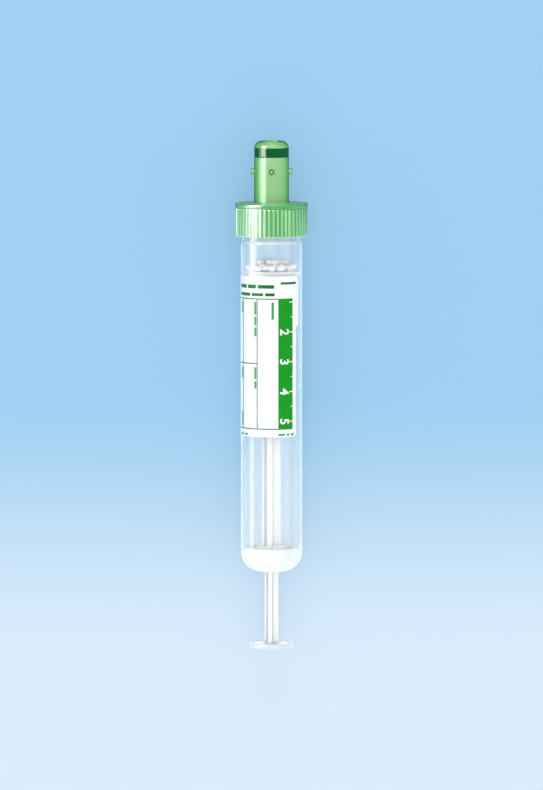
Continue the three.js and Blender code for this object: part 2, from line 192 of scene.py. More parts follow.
def extent(node, low=-np.inf, high=np.inf):
    """How far a CAD node reaches between two heights: along the axis, out from it, and round it."""
    x, y, z = in_tube(corners_of(node))
    kept = (z >= low) & (z <= high)
    radius, turn = np.hypot(x, y)[kept], np.degrees(np.arctan2(y, x))[kept]
    return SimpleNamespace(low=z[kept].min(), high=z[kept].max(), inner=radius.min(),
                           outer=radius.max(), left=turn.min(), right=turn.max())


print(f"base at {np.round(base, 5)}, axis climbs {math.degrees(math.asin(along[2])):.2f} degrees")

# %% [markdown]
# ## Sizes
#
# Lengths and radii that the CAD model holds are read off it, so the two can't
# drift apart. The details that follow are small ones: the round of the base, the
# threads, the ribs of the grip. They're the values that a toolmaker would write
# beside the drawing of each moulding.

# %% Sizes in millimetres
base_round = 4.9
neck_length, neck_step = 7.9, 0.25
thread_pitch, thread_turns, thread_height = 3.0, 1.35, 0.55
thread_foot, thread_crest, thread_lead, thread_fade = 1.1, 0.5, 1.15, 9
barrel_floor = 1.1

at_round = extent("barrel", base_round - 0.5, base_round + 0.5)
barrel_radius, bore = at_round.outer, at_round.inner
rod_hole = extent("barrel", -1, 0.5).inner
mouth = extent("barrel").high
shoulder = mouth - neck_length
neck_radius = barrel_radius - neck_step

cap, rod, disc = extent("screw_cap"), extent("plunger_rod"), extent("plunger_rod", high=-17)
insert, piston, seal = extent("guide_insert"), extent("piston_body"), extent("piston_seal")
septum, ring, paper = extent("septum"), extent("neck_ring"), extent("label")
flange = float((hub - base) @ along) / MM
print(f"barrel {2 * barrel_radius:.1f} wide and {mouth:.1f} long, cap from {cap.low:.1f} to {cap.high:.1f}, "
      f"rod from {rod.low:.1f} to {rod.high:.1f}")

# %% [markdown]
# ## Helpers that make surfaces
#
# Nearly every piece of the tube is round, so one helper turns a profile round the
# axis. A sharp mathematical corner never catches light, and a moulded one always
# does, so `softened` first rounds the corners of a profile. Just beside each
# round it adds one more point, which keeps the flat next to it evenly shaded.

# %% Profiles with rounded corners
most_of_side, just_beside = 0.42, 1.15


def softened(corners, closed=False, steps=4):
    """A path whose corners are rounded: a corner (a, b, r) becomes an arc of radius r that touches both its sides."""
    points = [np.array(corner[:2], float) for corner in corners]
    path = []
    for k, corner in enumerate(corners):
        ends = not closed and k in (0, len(corners) - 1)
        if ends or len(corner) < 3:
            path.append(points[k])
            continue
        before, after = points[k - 1] - points[k], points[(k + 1) % len(points)] - points[k]
        longest = most_of_side * min(np.linalg.norm(before), np.linalg.norm(after))
        before, after = before / np.linalg.norm(before), after / np.linalg.norm(after)
        half = math.acos(np.clip(before @ after, -1, 1)) / 2
        reach = min(corner[2] / math.tan(half), longest)
        centre = points[k] + (before + after) / np.linalg.norm(before + after) * reach / math.cos(half)
        share = np.linspace(0, 1, steps + 1)[:, None]
        arc = (points[k] + before * reach - centre) * (1 - share) + (points[k] + after * reach - centre) * share
        arc *= reach * math.tan(half) / np.linalg.norm(arc, axis=1)[:, None]
        path += [points[k] + before * reach * just_beside, *(centre + arc), points[k] + after * reach * just_beside]
    return np.array(path)


def quarter(r, z, reach_r, reach_z, start, end, steps=16):
    """Part of an ellipse round (r, z), from one angle in degrees to another."""
    angle = np.radians(np.linspace(start, end, steps + 1))
    return np.stack([r + reach_r * np.cos(angle), z + reach_z * np.sin(angle)], 1)


def straight(r, start, end, step):
    """Points up or down a straight wall of radius r, no more than step apart."""
    heights = np.linspace(start, end, max(2, int(abs(end - start) / step) + 2))
    return np.stack([np.full_like(heights, r), heights], 1)


print("a 1 mm corner rounded by 0.2 mm has", len(softened([(0, 0), (1, 0, 0.2), (1, 1)])), "points")

# %% [markdown]
# A surface of two parameters is a grid of points. The faces are the same for
# every grid: each joins a point to its neighbour in the row, the one above that,
# and its own neighbour above. A direction that runs full circle joins its last
# point to its first, so that no seam is left open. The order of the corners makes
# every face point outwards when a profile is listed anticlockwise.

# %% Grids, lathes and sweeps
def grid_faces(rows, columns, close_rows, close_columns):
    """Quads (i, j), (i, j+1), (i+1, j+1), (i+1, j), with i and j running round where the grid is closed."""
    i, j = np.meshgrid(np.arange(rows if close_rows else rows - 1),
                       np.arange(columns if close_columns else columns - 1), indexing="ij")
    above, beside = (i + 1) % rows, (j + 1) % columns
    quads = [i * columns + j, i * columns + beside, above * columns + beside, above * columns + j]
    return np.stack(quads, -1).reshape(-1, 4)


def full_turn(count, start=0.0):
    """Evenly spaced angles of a whole turn, in radians."""
    return start + np.arange(count) * 2 * math.pi / count


def pole_fans(rows, columns, low, high):
    """Triangles from a grid's first row to the point low and from its last row to the point high; None is no point."""
    j, beside, top = np.arange(columns), (np.arange(columns) + 1) % columns, (rows - 1) * columns
    fans = [] if low is None else np.stack([np.full(columns, low), beside, j], 1).tolist()
    return fans + ([] if high is None else np.stack([top + j, top + beside, np.full(columns, high)], 1).tolist())


def bar_faces(rows, columns):
    """The sides of a bar of closed outlines, with a flat face at both ends."""
    first = np.arange(columns)
    ends = [first[::-1].tolist(), (first + (rows - 1) * columns).tolist()]
    return grid_faces(rows, columns, False, True).tolist() + ends


def lathe(strips, turns=None):
    """A profile turned round the axis: x = r cos a, y = r sin a, with the strips one after the other.

    A strip is an array of points (r, z), or a pair of one and a relief(z, a) that is added to r. An end on the axis
    becomes one point, and a profile that stays off the axis is joined into a loop."""
    turns = full_turn(128) if turns is None else turns
    strips = [strip if isinstance(strip, tuple) else (strip, None) for strip in strips]
    r = np.concatenate([path[:, :1] + (relief(path[:, 1:], turns) if relief else 0 * turns) for path, relief in strips])
    z = np.concatenate([path[:, 1:] + 0 * turns for path, _ in strips])
    first, last = int(r[0, 0] < 1e-6), int(r[-1, 0] < 1e-6)
    poles = [z[0, 0]] * first + [z[-1, 0]] * last
    r, z = r[first:len(r) - last], z[first:len(z) - last]
    rows, columns = r.shape
    count = rows * columns
    points = [place(r * np.cos(turns), r * np.sin(turns), z).reshape(-1, 3)]
    points += [place(0, 0, height).reshape(1, 3) for height in poles]
    faces = grid_faces(rows, columns, not poles, True).tolist()
    faces += pole_fans(rows, columns, count if first else None, count + first if last else None)
    return np.concatenate(points), faces


def sector(profile, start, end, steps=8):
    """A closed profile swept from one angle in degrees to another, with both ends capped."""
    turns = np.radians(np.linspace(start, end, steps + 1))
    points = place(profile[:, :1] * np.cos(turns), profile[:, :1] * np.sin(turns), profile[:, 1:])
    rows, columns = len(profile), len(turns)
    first = np.arange(rows) * columns
    faces = grid_faces(rows, columns, True, False).tolist()
    return points.reshape(-1, 3), faces + [first.tolist(), (first + columns - 1)[::-1].tolist()]


def column(outlines, heights):
    """One closed outline a height, each an array of x, y listed anticlockwise, joined into a solid bar."""
    outlines = np.asarray(outlines)
    points = place(outlines[..., 0], outlines[..., 1], heights[:, None])
    return points.reshape(-1, 3), bar_faces(*outlines.shape[:2])


def together(*shapes):
    """Several (points, faces) shapes as one."""
    points, faces, shift = [], [], 0
    for some_points, some_faces in shapes:
        points.append(some_points)
        faces += [[k + shift for k in face] for face in some_faces]
        shift += len(some_points)
    return np.concatenate(points), faces


print("grid, lathe, sector and column are ready")

# %% [markdown]
# Every piece goes through one function. It makes the mesh, shades it smooth but
# for real edges, gives it its material, and lets it ride on a body of the packed
# model, so that it moves when that body does. The CAD nodes that it stands for
# are no longer shown. Two more helpers give a piece a second material on some of
# its faces, and a number on each of its points for a material to read.

# %% Turn a shape into a piece
def piece(name, shape, material, body, stands_for=(), slot=None, crease=38):
    """A mesh object that rides on a body and stands for CAD nodes; its slot has its material's name unless given."""
    points, faces = shape
    mesh = bpy.data.meshes.new(name)
    mesh.from_pydata(points.tolist(), [], faces)
    mesh.materials.append(material)
    mesh.shade_smooth()
    mesh.set_sharp_from_angle(angle=math.radians(crease))
    made = bpy.data.objects.new(name, mesh)
    bpy.context.scene.collection.objects.link(made)
    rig.ride(made, body)
    if stands_for:
        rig.replaces(made, *stands_for)
    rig.slot(made, slot or material.name.split(".")[0])  # Blender adds .001 to a name that the CAD model has too
    return made


def report(made):
    """Prints how many faces a piece has."""
    print(f"{made.name}: {len(made.data.polygons)} faces")


def refinish(made, material, chosen):
    """Another material where chosen(x, y, z, slope) says so: a face's centre, and how far it looks along the axis."""
    made.data.materials.append(material)
    centres, normals = (np.array([getattr(face, what) for face in made.data.polygons]) for what in ("center", "normal"))
    picked = chosen(*in_tube(centres), normals @ along)
    made.data.polygons.foreach_set("material_index", picked.astype(np.int32))


def mark(made, attribute, values):
    """Stores a number for each point of a piece."""
    made.data.attributes.new(attribute, "FLOAT", "POINT").data.foreach_set("value", values.astype(np.float32))


# %% [markdown]
# ## Finishes that several materials share
#
# No moulded surface is one flat colour. Under a lamp the eye picks up slow
# changes where the plastic flowed and cooled, and a fine grain from the mould.
# This node group holds both, so each material can use it with its own colours
# and strengths. Noise textures are the usual choice. They're stretched along the
# tube, because the plastic flowed that way.

# %% The moulded-surface group
def add(nodes, kind, **settings):
    """A node with its attributes and, by input name, its values set."""
    node = nodes.new(kind)
    for key, value in settings.items():
        if key in node.bl_rna.properties:
            setattr(node, key, value)
        else:
            node.inputs[key.replace("_", " ")].default_value = value
    return node


def arithmetic(nodes, operation, *values, clamp=False):
    """A Math node; a value of None leaves its input to a link."""
    node = add(nodes, "ShaderNodeMath", operation=operation, use_clamp=clamp)
    for socket, value in zip(node.inputs, values):
        socket.default_value = socket.default_value if value is None else value
    return node


def wire(*routes):
    """Links sockets, each route given as node, output, node, input."""
    for source, output, target, socket in routes:
        source.id_data.links.new(source.outputs[output], target.inputs[socket])


def new_group(name, inputs, outputs):
    """An empty shader node group with named sockets: inputs map a name to (socket type, default)."""
    group = bpy.data.node_groups.new(name, "ShaderNodeTree")
    for title, (kind, value) in inputs.items():
        socket = group.interface.new_socket(name=title, in_out="INPUT", socket_type=kind)
        socket.default_value = value
    for title, kind in outputs.items():
        group.interface.new_socket(name=title, in_out="OUTPUT", socket_type=kind)
    return group, group.nodes.new("NodeGroupInput"), group.nodes.new("NodeGroupOutput")


COLOUR, NUMBER, VECTOR = "NodeSocketColor", "NodeSocketFloat", "NodeSocketVector"


def moulded_surface():
    """Slow flow marks in colour and roughness, and a fine mould grain as bump."""
    group, given, result = new_group(
        "moulded surface",
        {"Colour": (COLOUR, (0.8, 0.8, 0.8, 1)), "Flow colour": (COLOUR, (0.7, 0.7, 0.7, 1)),
         "Roughness": (NUMBER, 0.4), "Roughness spread": (NUMBER, 0.1),
         "Flow scale": (NUMBER, 150.0), "Grain scale": (NUMBER, 4000.0), "Grain height": (NUMBER, 0.05)},
        {"Colour": COLOUR, "Roughness": NUMBER, "Normal": VECTOR})
    nodes = group.nodes
    here = nodes.new("ShaderNodeTexCoord")
    stretch = add(nodes, "ShaderNodeMapping", Scale=(0.25, 1.0, 1.0))
    flow = add(nodes, "ShaderNodeTexNoise", Detail=3.0)
    grain = add(nodes, "ShaderNodeTexNoise", Detail=2.0)
    contrast = add(nodes, "ShaderNodeMapRange", From_Min=0.35, From_Max=0.65)
    tint = add(nodes, "ShaderNodeMix", data_type="RGBA")
    spread = arithmetic(nodes, "MULTIPLY_ADD")
    centred = arithmetic(nodes, "SUBTRACT", None, 0.5)
    bump = add(nodes, "ShaderNodeBump", Distance=0.0001)
    wire((here, "Object", stretch, "Vector"), (stretch, "Vector", flow, "Vector"),
         (given, "Flow scale", flow, "Scale"), (here, "Object", grain, "Vector"),
         (given, "Grain scale", grain, "Scale"), (flow, "Fac", contrast, "Value"),
         (contrast, "Result", tint, "Factor"), (given, "Colour", tint, "A"), (given, "Flow colour", tint, "B"),
         (flow, "Fac", centred, 0), (centred, 0, spread, 0), (given, "Roughness spread", spread, 1),
         (given, "Roughness", spread, 2), (grain, "Fac", bump, "Height"),
         (given, "Grain height", bump, "Strength"), (tint, "Result", result, "Colour"),
         (spread, 0, result, "Roughness"), (bump, "Normal", result, "Normal"))
    return group


MOULDED = moulded_surface()
print("moulded surface:", [item.name for item in MOULDED.interface.items_tree])

# %% [markdown]
# A material is a Principled BSDF with that group in front of it. Values that are
# the same all over the surface, such as how much light scatters inside, stay on
# the shader itself. Some pieces also say in an attribute of their mesh where a
# painted shade or highlight goes: on the rod, painted shade greys one flank of each
# blade and the rim of its thumb disc.

# %% Materials of the moulded pieces
def srgb(red, green, blue):
    """A colour given as screen values from 0 to 255, in the linear light that shaders use."""
    value = np.array([red, green, blue]) / 255
    linear = np.where(value <= 0.04045, value / 12.92, ((value + 0.055) / 1.055) ** 2.4)
    return (*linear.tolist(), 1.0)


def new_material(name):
    """An empty node material with its Principled shader and output."""
    material = bpy.data.materials.new(name)
    material.use_nodes = True
    nodes = material.node_tree.nodes
    return material, nodes, nodes["Principled BSDF"]


def moulded(name, colour, flow_colour, roughness, spread, flow, grain, height, **shader):
    """A moulded plastic: the shared surface group, then one Principled shader whose even values are given by name."""
    material, nodes, principled = new_material(name)
    surface = add(nodes, "ShaderNodeGroup", node_tree=MOULDED)
    for socket, value in zip(surface.inputs, (colour, flow_colour, roughness, spread, flow, grain, height)):
        socket.default_value = value
    wire((surface, "Colour", principled, "Base Color"), (surface, "Roughness", principled, "Roughness"),
         (surface, "Normal", principled, "Normal"))
    for key, value in shader.items():
        principled.inputs[key.replace("_", " ")].default_value = value
    return material


def blend_by(material, attribute, colour):
    """Mixes another colour into a moulded plastic, as far as an attribute of the mesh says."""
    nodes = material.node_tree.nodes
    share = add(nodes, "ShaderNodeAttribute", attribute_name=attribute)
    mixed = add(nodes, "ShaderNodeMix", data_type="RGBA")
    mixed.inputs["B"].default_value = colour
    wire((share, "Fac", mixed, "Factor"), (nodes["Group"], "Colour", mixed, "A"),
         (mixed, "Result", nodes["Principled BSDF"], "Base Color"))


def milky(weight, scale, radius=(1.0, 1.0, 1.0)):
    """Shader values for light that scatters inside: how much, how many metres, and each colour's share of that."""
    return {"Subsurface_Weight": weight, "Subsurface_Scale": scale, "Subsurface_Radius": radius}


ring_green = moulded("ring_green", srgb(2, 96, 48), srgb(1, 86, 42), 0.12, 0.06, 400, 3000, 0.03,
                     Specular_IOR_Level=0.4)
rod_white = moulded("rod_white", srgb(255, 255, 253), srgb(251, 250, 248), 0.32, 0.12, 120, 3500, 0.05,
                    **milky(0.1, 0.0006, (1.0, 0.9, 0.8)))
# Painted shade: the attribute mixes this grey into the rod's white, on one flank of each blade, the thin end and the
# thumb disc.
blend_by(rod_white, "valley", srgb(204, 206, 210))
insert_white = moulded("insert_white", srgb(255, 255, 255), srgb(251, 252, 253), 0.35, 0.1, 200, 3500, 0.05,
                       **milky(0.1, 0.001))
piston_white = moulded("piston_white", srgb(255, 255, 255), srgb(250, 251, 251), 0.42, 0.12, 200, 3000, 0.08,
                       **milky(0.1, 0.001))
seal_white = moulded("seal_white", srgb(236, 238, 236), srgb(226, 229, 228), 0.6, 0.12, 300, 2500, 0.1,
                     **milky(0.2, 0.001))
septum_rubber = moulded("septum_rubber", srgb(228, 230, 220), srgb(214, 218, 206), 0.7, 0.15, 500, 2500, 0.2)
bead_white = moulded("bead_white", srgb(255, 255, 255), srgb(250, 252, 254), 0.4, 0.2, 900, 5000, 0.15,
                     Sheen_Weight=1.0, Sheen_Roughness=0.35, **milky(0.5, 0.001))
print(len(bpy.data.materials), "materials so far")

# %% [markdown]
# ## Clear and tinted plastic
#
# The barrel is a Principled shader with nearly all of its light transmitted, and
# a trace of white that makes it a little milky. Clear plastic blocks lamps in
# Cycles, so its shadow would be as dark as that of wood, and the real tube hardly
# has one. So rays that look for a lamp meet a faintly tinted Transparent shader in
# its place.
#
# The nozzle is milky and tinted. Part of its colour sits in the volume, which
# absorbs red and blue on the way through. Part sits in the tint of a coat, which
# counts more where the light crosses it at a slant, so the middle of the nozzle
# stays pale and its sides turn a deeper green.

# %% Materials that let light through
def see_through(name, shadow, roughness, spread, flow, grain, height, colour, flow_colour, transmission, **shader):
    """A transmitting plastic with the shared surface, and a lighter, tinted shadow for rays that look for a lamp."""
    material = moulded(name, colour, flow_colour, roughness, spread, flow, grain, height,
                       Transmission_Weight=transmission, IOR=1.5, **shader)
    nodes = material.node_tree.nodes
    light, through, chosen = (nodes.new("ShaderNode" + kind) for kind in ("LightPath", "BsdfTransparent", "MixShader"))
    through.inputs["Color"].default_value = shadow
    wire((light, "Is Shadow Ray", chosen, "Fac"), (nodes["Principled BSDF"], "BSDF", chosen, 1),
         (through, "BSDF", chosen, 2), (chosen, "Shader", nodes["Material Output"], "Surface"))
    return material


barrel_clear = see_through("barrel_clear", srgb(254, 255, 255), 0.04, 0.0, 90, 200, 0.0,
                           srgb(254, 255, 255), srgb(250, 252, 253), 0.94, Sheen_Weight=1.0, Sheen_Roughness=0.5)
# Painted highlight: a rough, mostly opaque white that stands for the bright line at the barrel's shoulder.
barrel_frosted = see_through("barrel_frosted", srgb(240, 246, 250), 0.5, 0.1, 400, 3000, 0.1,
                             srgb(255, 255, 255), srgb(250, 252, 254), 0.3)
nozzle_green = see_through("nozzle_green", srgb(250, 254, 248), 0.16, 0.02, 220, 3500, 0.04,
                           srgb(250, 252, 224), srgb(246, 249, 218), 0.4, Specular_IOR_Level=0.9,
                           Coat_Weight=1.0, Coat_IOR=1.0, Coat_Roughness=0.1, Coat_Tint=(0.56, 0.87, 0.6, 1))
nodes = nozzle_green.node_tree.nodes
tint = nodes.new("ShaderNodeVolumeAbsorption")
tint.inputs["Color"].default_value, tint.inputs["Density"].default_value = (0.02, 0.82, 0.05, 1), 30
wire((tint, "Volume", nodes["Material Output"], "Volume"))
print(barrel_clear.name, "and", nozzle_green.name, "let light through")

# %% [markdown]
# The skirt and flange are thick and full of walls, so nothing shows through them,
# and a milky surface is enough. The crests of the grip's ribs get a painted
# highlight, a paler green for the light they catch, and the gaps hold the deep
# colour. The mesh says in an attribute of its own, called ridge, how near each
# point is to a crest, and the material blends the paler green in by it. The same
# attribute paints a highlight on the flange's top face and the skirt's lower lip.

# %% Milky green of the cap
cap_green = moulded("cap_green", srgb(108, 190, 116), srgb(62, 165, 90), 0.24, 0.1, 130, 3500, 0.05,
                    Specular_IOR_Level=0.9, Coat_Weight=0.6, Coat_Roughness=0.28,
                    **milky(0.15, 0.0008, (0.4, 1.0, 0.5)))
# Painted highlight: the paler green on the rib crests, the flange's top face and the skirt's lower lip.
blend_by(cap_green, "ridge", srgb(188, 228, 164))
print("the ribs of", cap_green.name, "are paler on top")

# %% [markdown]
# ## Label paper and inks
#
# Label stock is smooth, coated and faintly fibrous. Its fibres are a noise that
# is bent by another noise. Printing ink is a thin even film, so each ink only
# has a slight mottle. One function makes all of them, with the fibres fainter
# where ink fills them.

# %% Paper and ink materials
def printed(name, colour, mottle, fibre, roughness):
    """Paper or ink: a soft mottle in the colour and fibres as bump."""
    material, nodes, principled = new_material(name)
    here = nodes.new("ShaderNodeTexCoord")
    cloud = add(nodes, "ShaderNodeTexNoise", Scale=700.0, Detail=4.0, Distortion=0.6)
    strands = add(nodes, "ShaderNodeTexNoise", Scale=2600.0, Detail=2.0, Distortion=2.5)
    tint = add(nodes, "ShaderNodeMix", data_type="RGBA")
    rough = add(nodes, "ShaderNodeMapRange", To_Min=roughness - 0.05, To_Max=roughness + 0.05)
    bump = add(nodes, "ShaderNodeBump", Strength=fibre, Distance=0.00006)
    tint.inputs["A"].default_value, tint.inputs["B"].default_value = colour, mottle
    wire((here, "Object", cloud, "Vector"), (here, "Object", strands, "Vector"), (cloud, "Fac", tint, "Factor"),
         (tint, "Result", principled, "Base Color"), (cloud, "Fac", rough, "Value"),
         (rough, "Result", principled, "Roughness"), (strands, "Fac", bump, "Height"),
         (bump, "Normal", principled, "Normal"))
    principled.inputs["Specular IOR Level"].default_value = 0.12
    return material


label_paper = printed("label_paper", srgb(247, 248, 247), srgb(242, 244, 243), 0.12, 0.45)
bar_ink = printed("bar_ink", srgb(24, 156, 34), srgb(18, 148, 30), 0.05, 0.38)
line_ink = printed("line_ink", srgb(8, 118, 44), srgb(4, 108, 38), 0.05, 0.4)
caption_ink = printed("caption_ink", srgb(74, 160, 92), srgb(64, 150, 82), 0.05, 0.4)
print("inks:", [m.name for m in bpy.data.materials if "ink" in m.name])

# %% [markdown]
# ## The barrel
#
# The barrel is a test tube with a rod hole in its round base and a screw neck.
# Its wall shows from both sides, so the profile runs up the outside, over the
# mouth and down the inside, and closes at the hole. The screw thread is a relief
# on the neck: at each height and angle it asks how far that spot lies from a line
# that climbs one pitch a turn.

# %% Build the barrel
def screw_thread(start, start_angle, height):
    """relief(z, a) of a ridge with a trapezoid section, round a helix that starts at that height and angle."""
    def relief(z, turns):
        ridge = 0 * z * turns
        for lap in range(math.ceil(thread_turns) + 1):
            travelled = np.mod(turns - start_angle, 2 * math.pi) / (2 * math.pi) + lap
            aside = np.abs(z - start - thread_pitch * travelled)
            section = np.clip((thread_foot / 2 - aside) / ((thread_foot - thread_crest) / 2), 0, 1)
            fade = np.clip(np.minimum(travelled, thread_turns - travelled) * thread_fade, 0, 1)
            ridge = np.maximum(ridge, section * fade)
        return height * ridge
    return relief


thread_start = mouth - thread_lead - thread_pitch * thread_turns
base_flat = barrel_radius - base_round


def inside_of_base(offset, start, end):
    """The inner round of the base, moved into the wall by offset."""
    return quarter(base_flat, base_round, bore - base_flat + offset, base_round - barrel_floor + offset, start, end, 24)


barrel_shape = lathe([
    softened([(rod_hole, 0), (base_flat, 0)]),
    quarter(base_flat, base_round, base_round, base_round, -90, 0, 28),
    straight(barrel_radius, base_round + 2, shoulder - 2, 8),
    softened([(barrel_radius, shoulder - 1), (barrel_radius, shoulder - 0.2, 0.15), (neck_radius, shoulder + 0.3, 0.15),
              (neck_radius, shoulder + 0.8)]),
    (straight(neck_radius, shoulder + 0.9, mouth - 0.5, 0.11), screw_thread(thread_start, 0, thread_height)),
    softened([(neck_radius, mouth - 0.4), (neck_radius, mouth, 0.22), (bore, mouth, 0.22), (bore, mouth - 0.6)]),
    straight(bore, mouth - 2, base_round + 2, 8),
    inside_of_base(0, 0, -90),
    softened([(base_flat - 0.05, barrel_floor), (rod_hole, barrel_floor)]),
], full_turn(160))
clear_barrel = piece("clear_barrel", barrel_shape, barrel_clear, "tube", ["barrel"])
# Painted highlight: the shoulder's step takes the rough white band, for the bright line that it shows.
highlight_band_middle, highlight_band_half = shoulder + 0.05, 0.35
refinish(clear_barrel, barrel_frosted, lambda x, y, z, slope: (slope > 0.2) & (abs(z - highlight_band_middle) < highlight_band_half))
report(clear_barrel)

# %% [markdown]
# ## The guide insert
#
# A milky insert is moulded into the base. It's a cup whose floor has a
# cross-shaped hole that guides the rod, a slotted collar that catches the piston
# at the end of its travel, and eight webs between the two. The cup reaches a
# hair's breadth into the wall of the barrel. Without an air gap, the clear wall
# magnifies it right out to the silhouette, as it does in the real base. The
# cross-shaped hole is a polar curve: inside a blade's tip the radius is the tip's,
# and beside it the flank's, half the blade over the sine of the angle.

# %% Build the guide insert
insert_rim = insert.high - 0.5
insert_wall, insert_floor = 0.7, 1.0
collar_inner = 2.7
collar_outer = collar_inner + 1.0
slot_width, slot_floor, web_count, web_half_angle = 0.7, 1.5, 8, 3.1
rod_turn, rod_blade, rod_radius = math.radians(-13), 1.3, 2.35
wetted = 0.02


def cross_hole(tip, blade):
    """relief(z, a) that turns a circle of radius tip into a cross with blades that wide."""
    def relief(z, turns):
        aside = np.mod(turns - rod_turn + math.pi / 4, math.pi / 2) - math.pi / 4
        return np.minimum(tip, blade / 2 / np.maximum(np.abs(np.sin(aside)), 1e-6)) - tip + 0 * z
    return relief


floor_top = insert.low + insert_floor
wall_inside = bore - 0.3 - insert_wall
hole_tip, hole_blade = rod_radius + 0.2, rod_blade + 0.4
cup = lathe([
    (np.array([(hole_tip, barrel_floor - wetted)]), cross_hole(hole_tip, hole_blade)),
    np.array([(base_flat, barrel_floor - wetted)]),
    inside_of_base(wetted, -88, 0),
    softened([(bore + wetted, base_round + 0.3), (bore + wetted, insert_rim, 0.12), (wall_inside, insert_rim, 0.12),
              (wall_inside, base_round)]),
    quarter(base_flat, base_round, wall_inside - base_flat, base_round - floor_top, -5, -88, 12),
    np.array([(hole_tip + 0.1, floor_top)]),
    (np.array([(hole_tip, floor_top)]), cross_hole(hole_tip, hole_blade)),
], full_turn(144, rod_turn))
collar_root = lathe([softened([
    (collar_inner, floor_top - 0.3), (collar_outer, floor_top - 0.3), (collar_outer, floor_top + slot_floor),
    (collar_inner, floor_top + slot_floor)], closed=True)], full_turn(96))
finger_profile = softened([
    (collar_inner, floor_top + slot_floor - 0.05), (collar_outer, floor_top + slot_floor - 0.05),
    (collar_outer, insert.high, 0.22), (collar_inner, insert.high, 0.15)], closed=True)
slot_half = math.degrees(slot_width / 2 / (collar_inner + 0.5))
fingers = [sector(finger_profile, turn + slot_half, turn + 90 - slot_half, 16) for turn in (0, 90, 180, 270)]
web_profile = softened([
    (collar_outer - 0.3, floor_top - 0.3), (wall_inside + 0.2, base_round - 0.9),
    (wall_inside + 0.2, insert_rim - 0.35, 0.12), (collar_outer - 0.3, insert_rim - 0.35, 0.12)], closed=True)
webs = [sector(web_profile, turn - web_half_angle, turn + web_half_angle, 2)
        for turn in (np.arange(web_count) + 0.5) * 360 / web_count]
report(piece("milky_insert", together(cup, collar_root, *fingers, *webs), insert_white, "tube", ["guide_insert"]))

# %% [markdown]
# ## The plunger
#
# The rod is one moulding: a stem with a cross section, a thumb disc, and a head
# that snaps into the piston. Its outline is drawn once for a radius and a blade,
# with soft edges and a fillet in each valley, and the column helper stacks it
# from height to height: thin outside the barrel, thicker inside, flared where it
# meets the disc, and pinched at the groove where the rod is snapped off.
#
# Each blade has a painted shade on one flank. Every outline has the same points in
# the same order, so counting them round finds the ones from the middle of that flank
# to the middle of the fillet. The thin end, the face and rim of the disc, a line on
# the disc's face and the foot of the stem get painted shades of their own.

# %% Build the plunger rod
thin_radius, thin_blade, flank_shade_share = 1.7, 0.95, 0.57
taper_start, taper_end = 3.0, 5.0
notch, notch_radius, notch_half = 2.8, 1.15, 0.85
disc_thickness, pin_radius, bulb_radius, bulb_length, pin_length = 1.15, 1.2, 1.5, 2.0, 8.0
flare_width, flare_height = 0.3, 0.18
disc_top = disc.low + disc_thickness
rod_end = rod.high - pin_length - bulb_length


def cross_outline(radius, blade):
    """A plus shape with rounded tips: four blades of that width and reach, turned to the rod's angle."""
    half, corners = blade / 2, []
    shoulder_x = math.sqrt(radius ** 2 - half ** 2)
    # far and near are extra points on the flank: the painted shade rises from far to near and runs on into the fillet.
    near, far = half + flank_shade_share * (shoulder_x - half), half + 1.4 * flank_shade_share * (shoulder_x - half)
    quadrant = [(shoulder_x, -half, 0.16), (radius, 0), (shoulder_x, half, 0.16), (far, half), (near, half),
                (half, half, 0.2)]
    for side in range(4):
        c, s = math.cos(side * math.pi / 2), math.sin(side * math.pi / 2)
        corners += [(c * x - s * y, s * x + c * y, *fillet) for x, y, *fillet in quadrant]
    x, y = softened(corners, closed=True, steps=3).T
    c, s = math.cos(rod_turn), math.sin(rod_turn)
    return np.stack([c * x - s * y, s * x + c * y], 1)


def rod_section(z):
    """The stem's outline at a height: thin or thick, flared at the disc, cut by the V of the groove."""
    share = np.clip((z - taper_start) / (taper_end - taper_start), 0, 1)
    flare = flare_width * math.exp(-max(z - disc_top, 0) / flare_height)
    radius = thin_radius + share * (rod_radius - thin_radius) + flare
    blade = thin_blade + share * (rod_blade - thin_blade) + flare
    groove = notch_radius + (rod_radius - notch_radius) / notch_half * max(abs(z - (rod_end - notch)) - 0.05, 0)
    return cross_outline(min(radius, groove), blade)


stem_heights = np.concatenate([
    disc_top + np.array([-0.3, 0, 0.08, 0.18, 0.32, 0.55, 0.9, 1.4]), np.linspace(-15, 2.8, 8), np.linspace(3, 5, 9),
    np.linspace(6, rod_end - notch - 1.2, 14), rod_end - notch + np.linspace(-0.95, 0.95, 17),
    np.array([rod_end - 1.4, rod_end - 0.3, rod_end])])
stem = column([rod_section(z) for z in stem_heights], stem_heights)
thumb_disc = lathe([softened([
    (0, disc.low + 0.12), (3.9, disc.low + 0.12, 0.1), (4.25, disc.low, 0.15), (disc.outer, disc.low, 0.42),
    (disc.outer, disc_top, 0.3), (disc.outer - 0.65, disc_top, 0.1), (disc.outer - 0.8, disc_top - 0.12, 0.1),
    (disc.outer - 1.1, disc_top - 0.12), (2.9, disc_top - 0.12), (2.3, disc_top - 0.12), (0, disc_top - 0.12)])])
rod_head = lathe([softened([
    (0, rod_end - 0.3), (pin_radius, rod_end - 0.3), (pin_radius, rod_end + pin_length, 0.1),
    (bulb_radius, rod_end + pin_length + 0.2, 0.1), (bulb_radius, rod.high, 0.4), (0, rod.high)])], full_turn(48))
stem_shape = together(stem, thumb_disc, rod_head)
plunger_stem = piece("plunger_stem", stem_shape, rod_white, "plunger", ["plunger_rod"])
x, y, z = in_tube(stem_shape[0])
across = np.hypot(x, y)
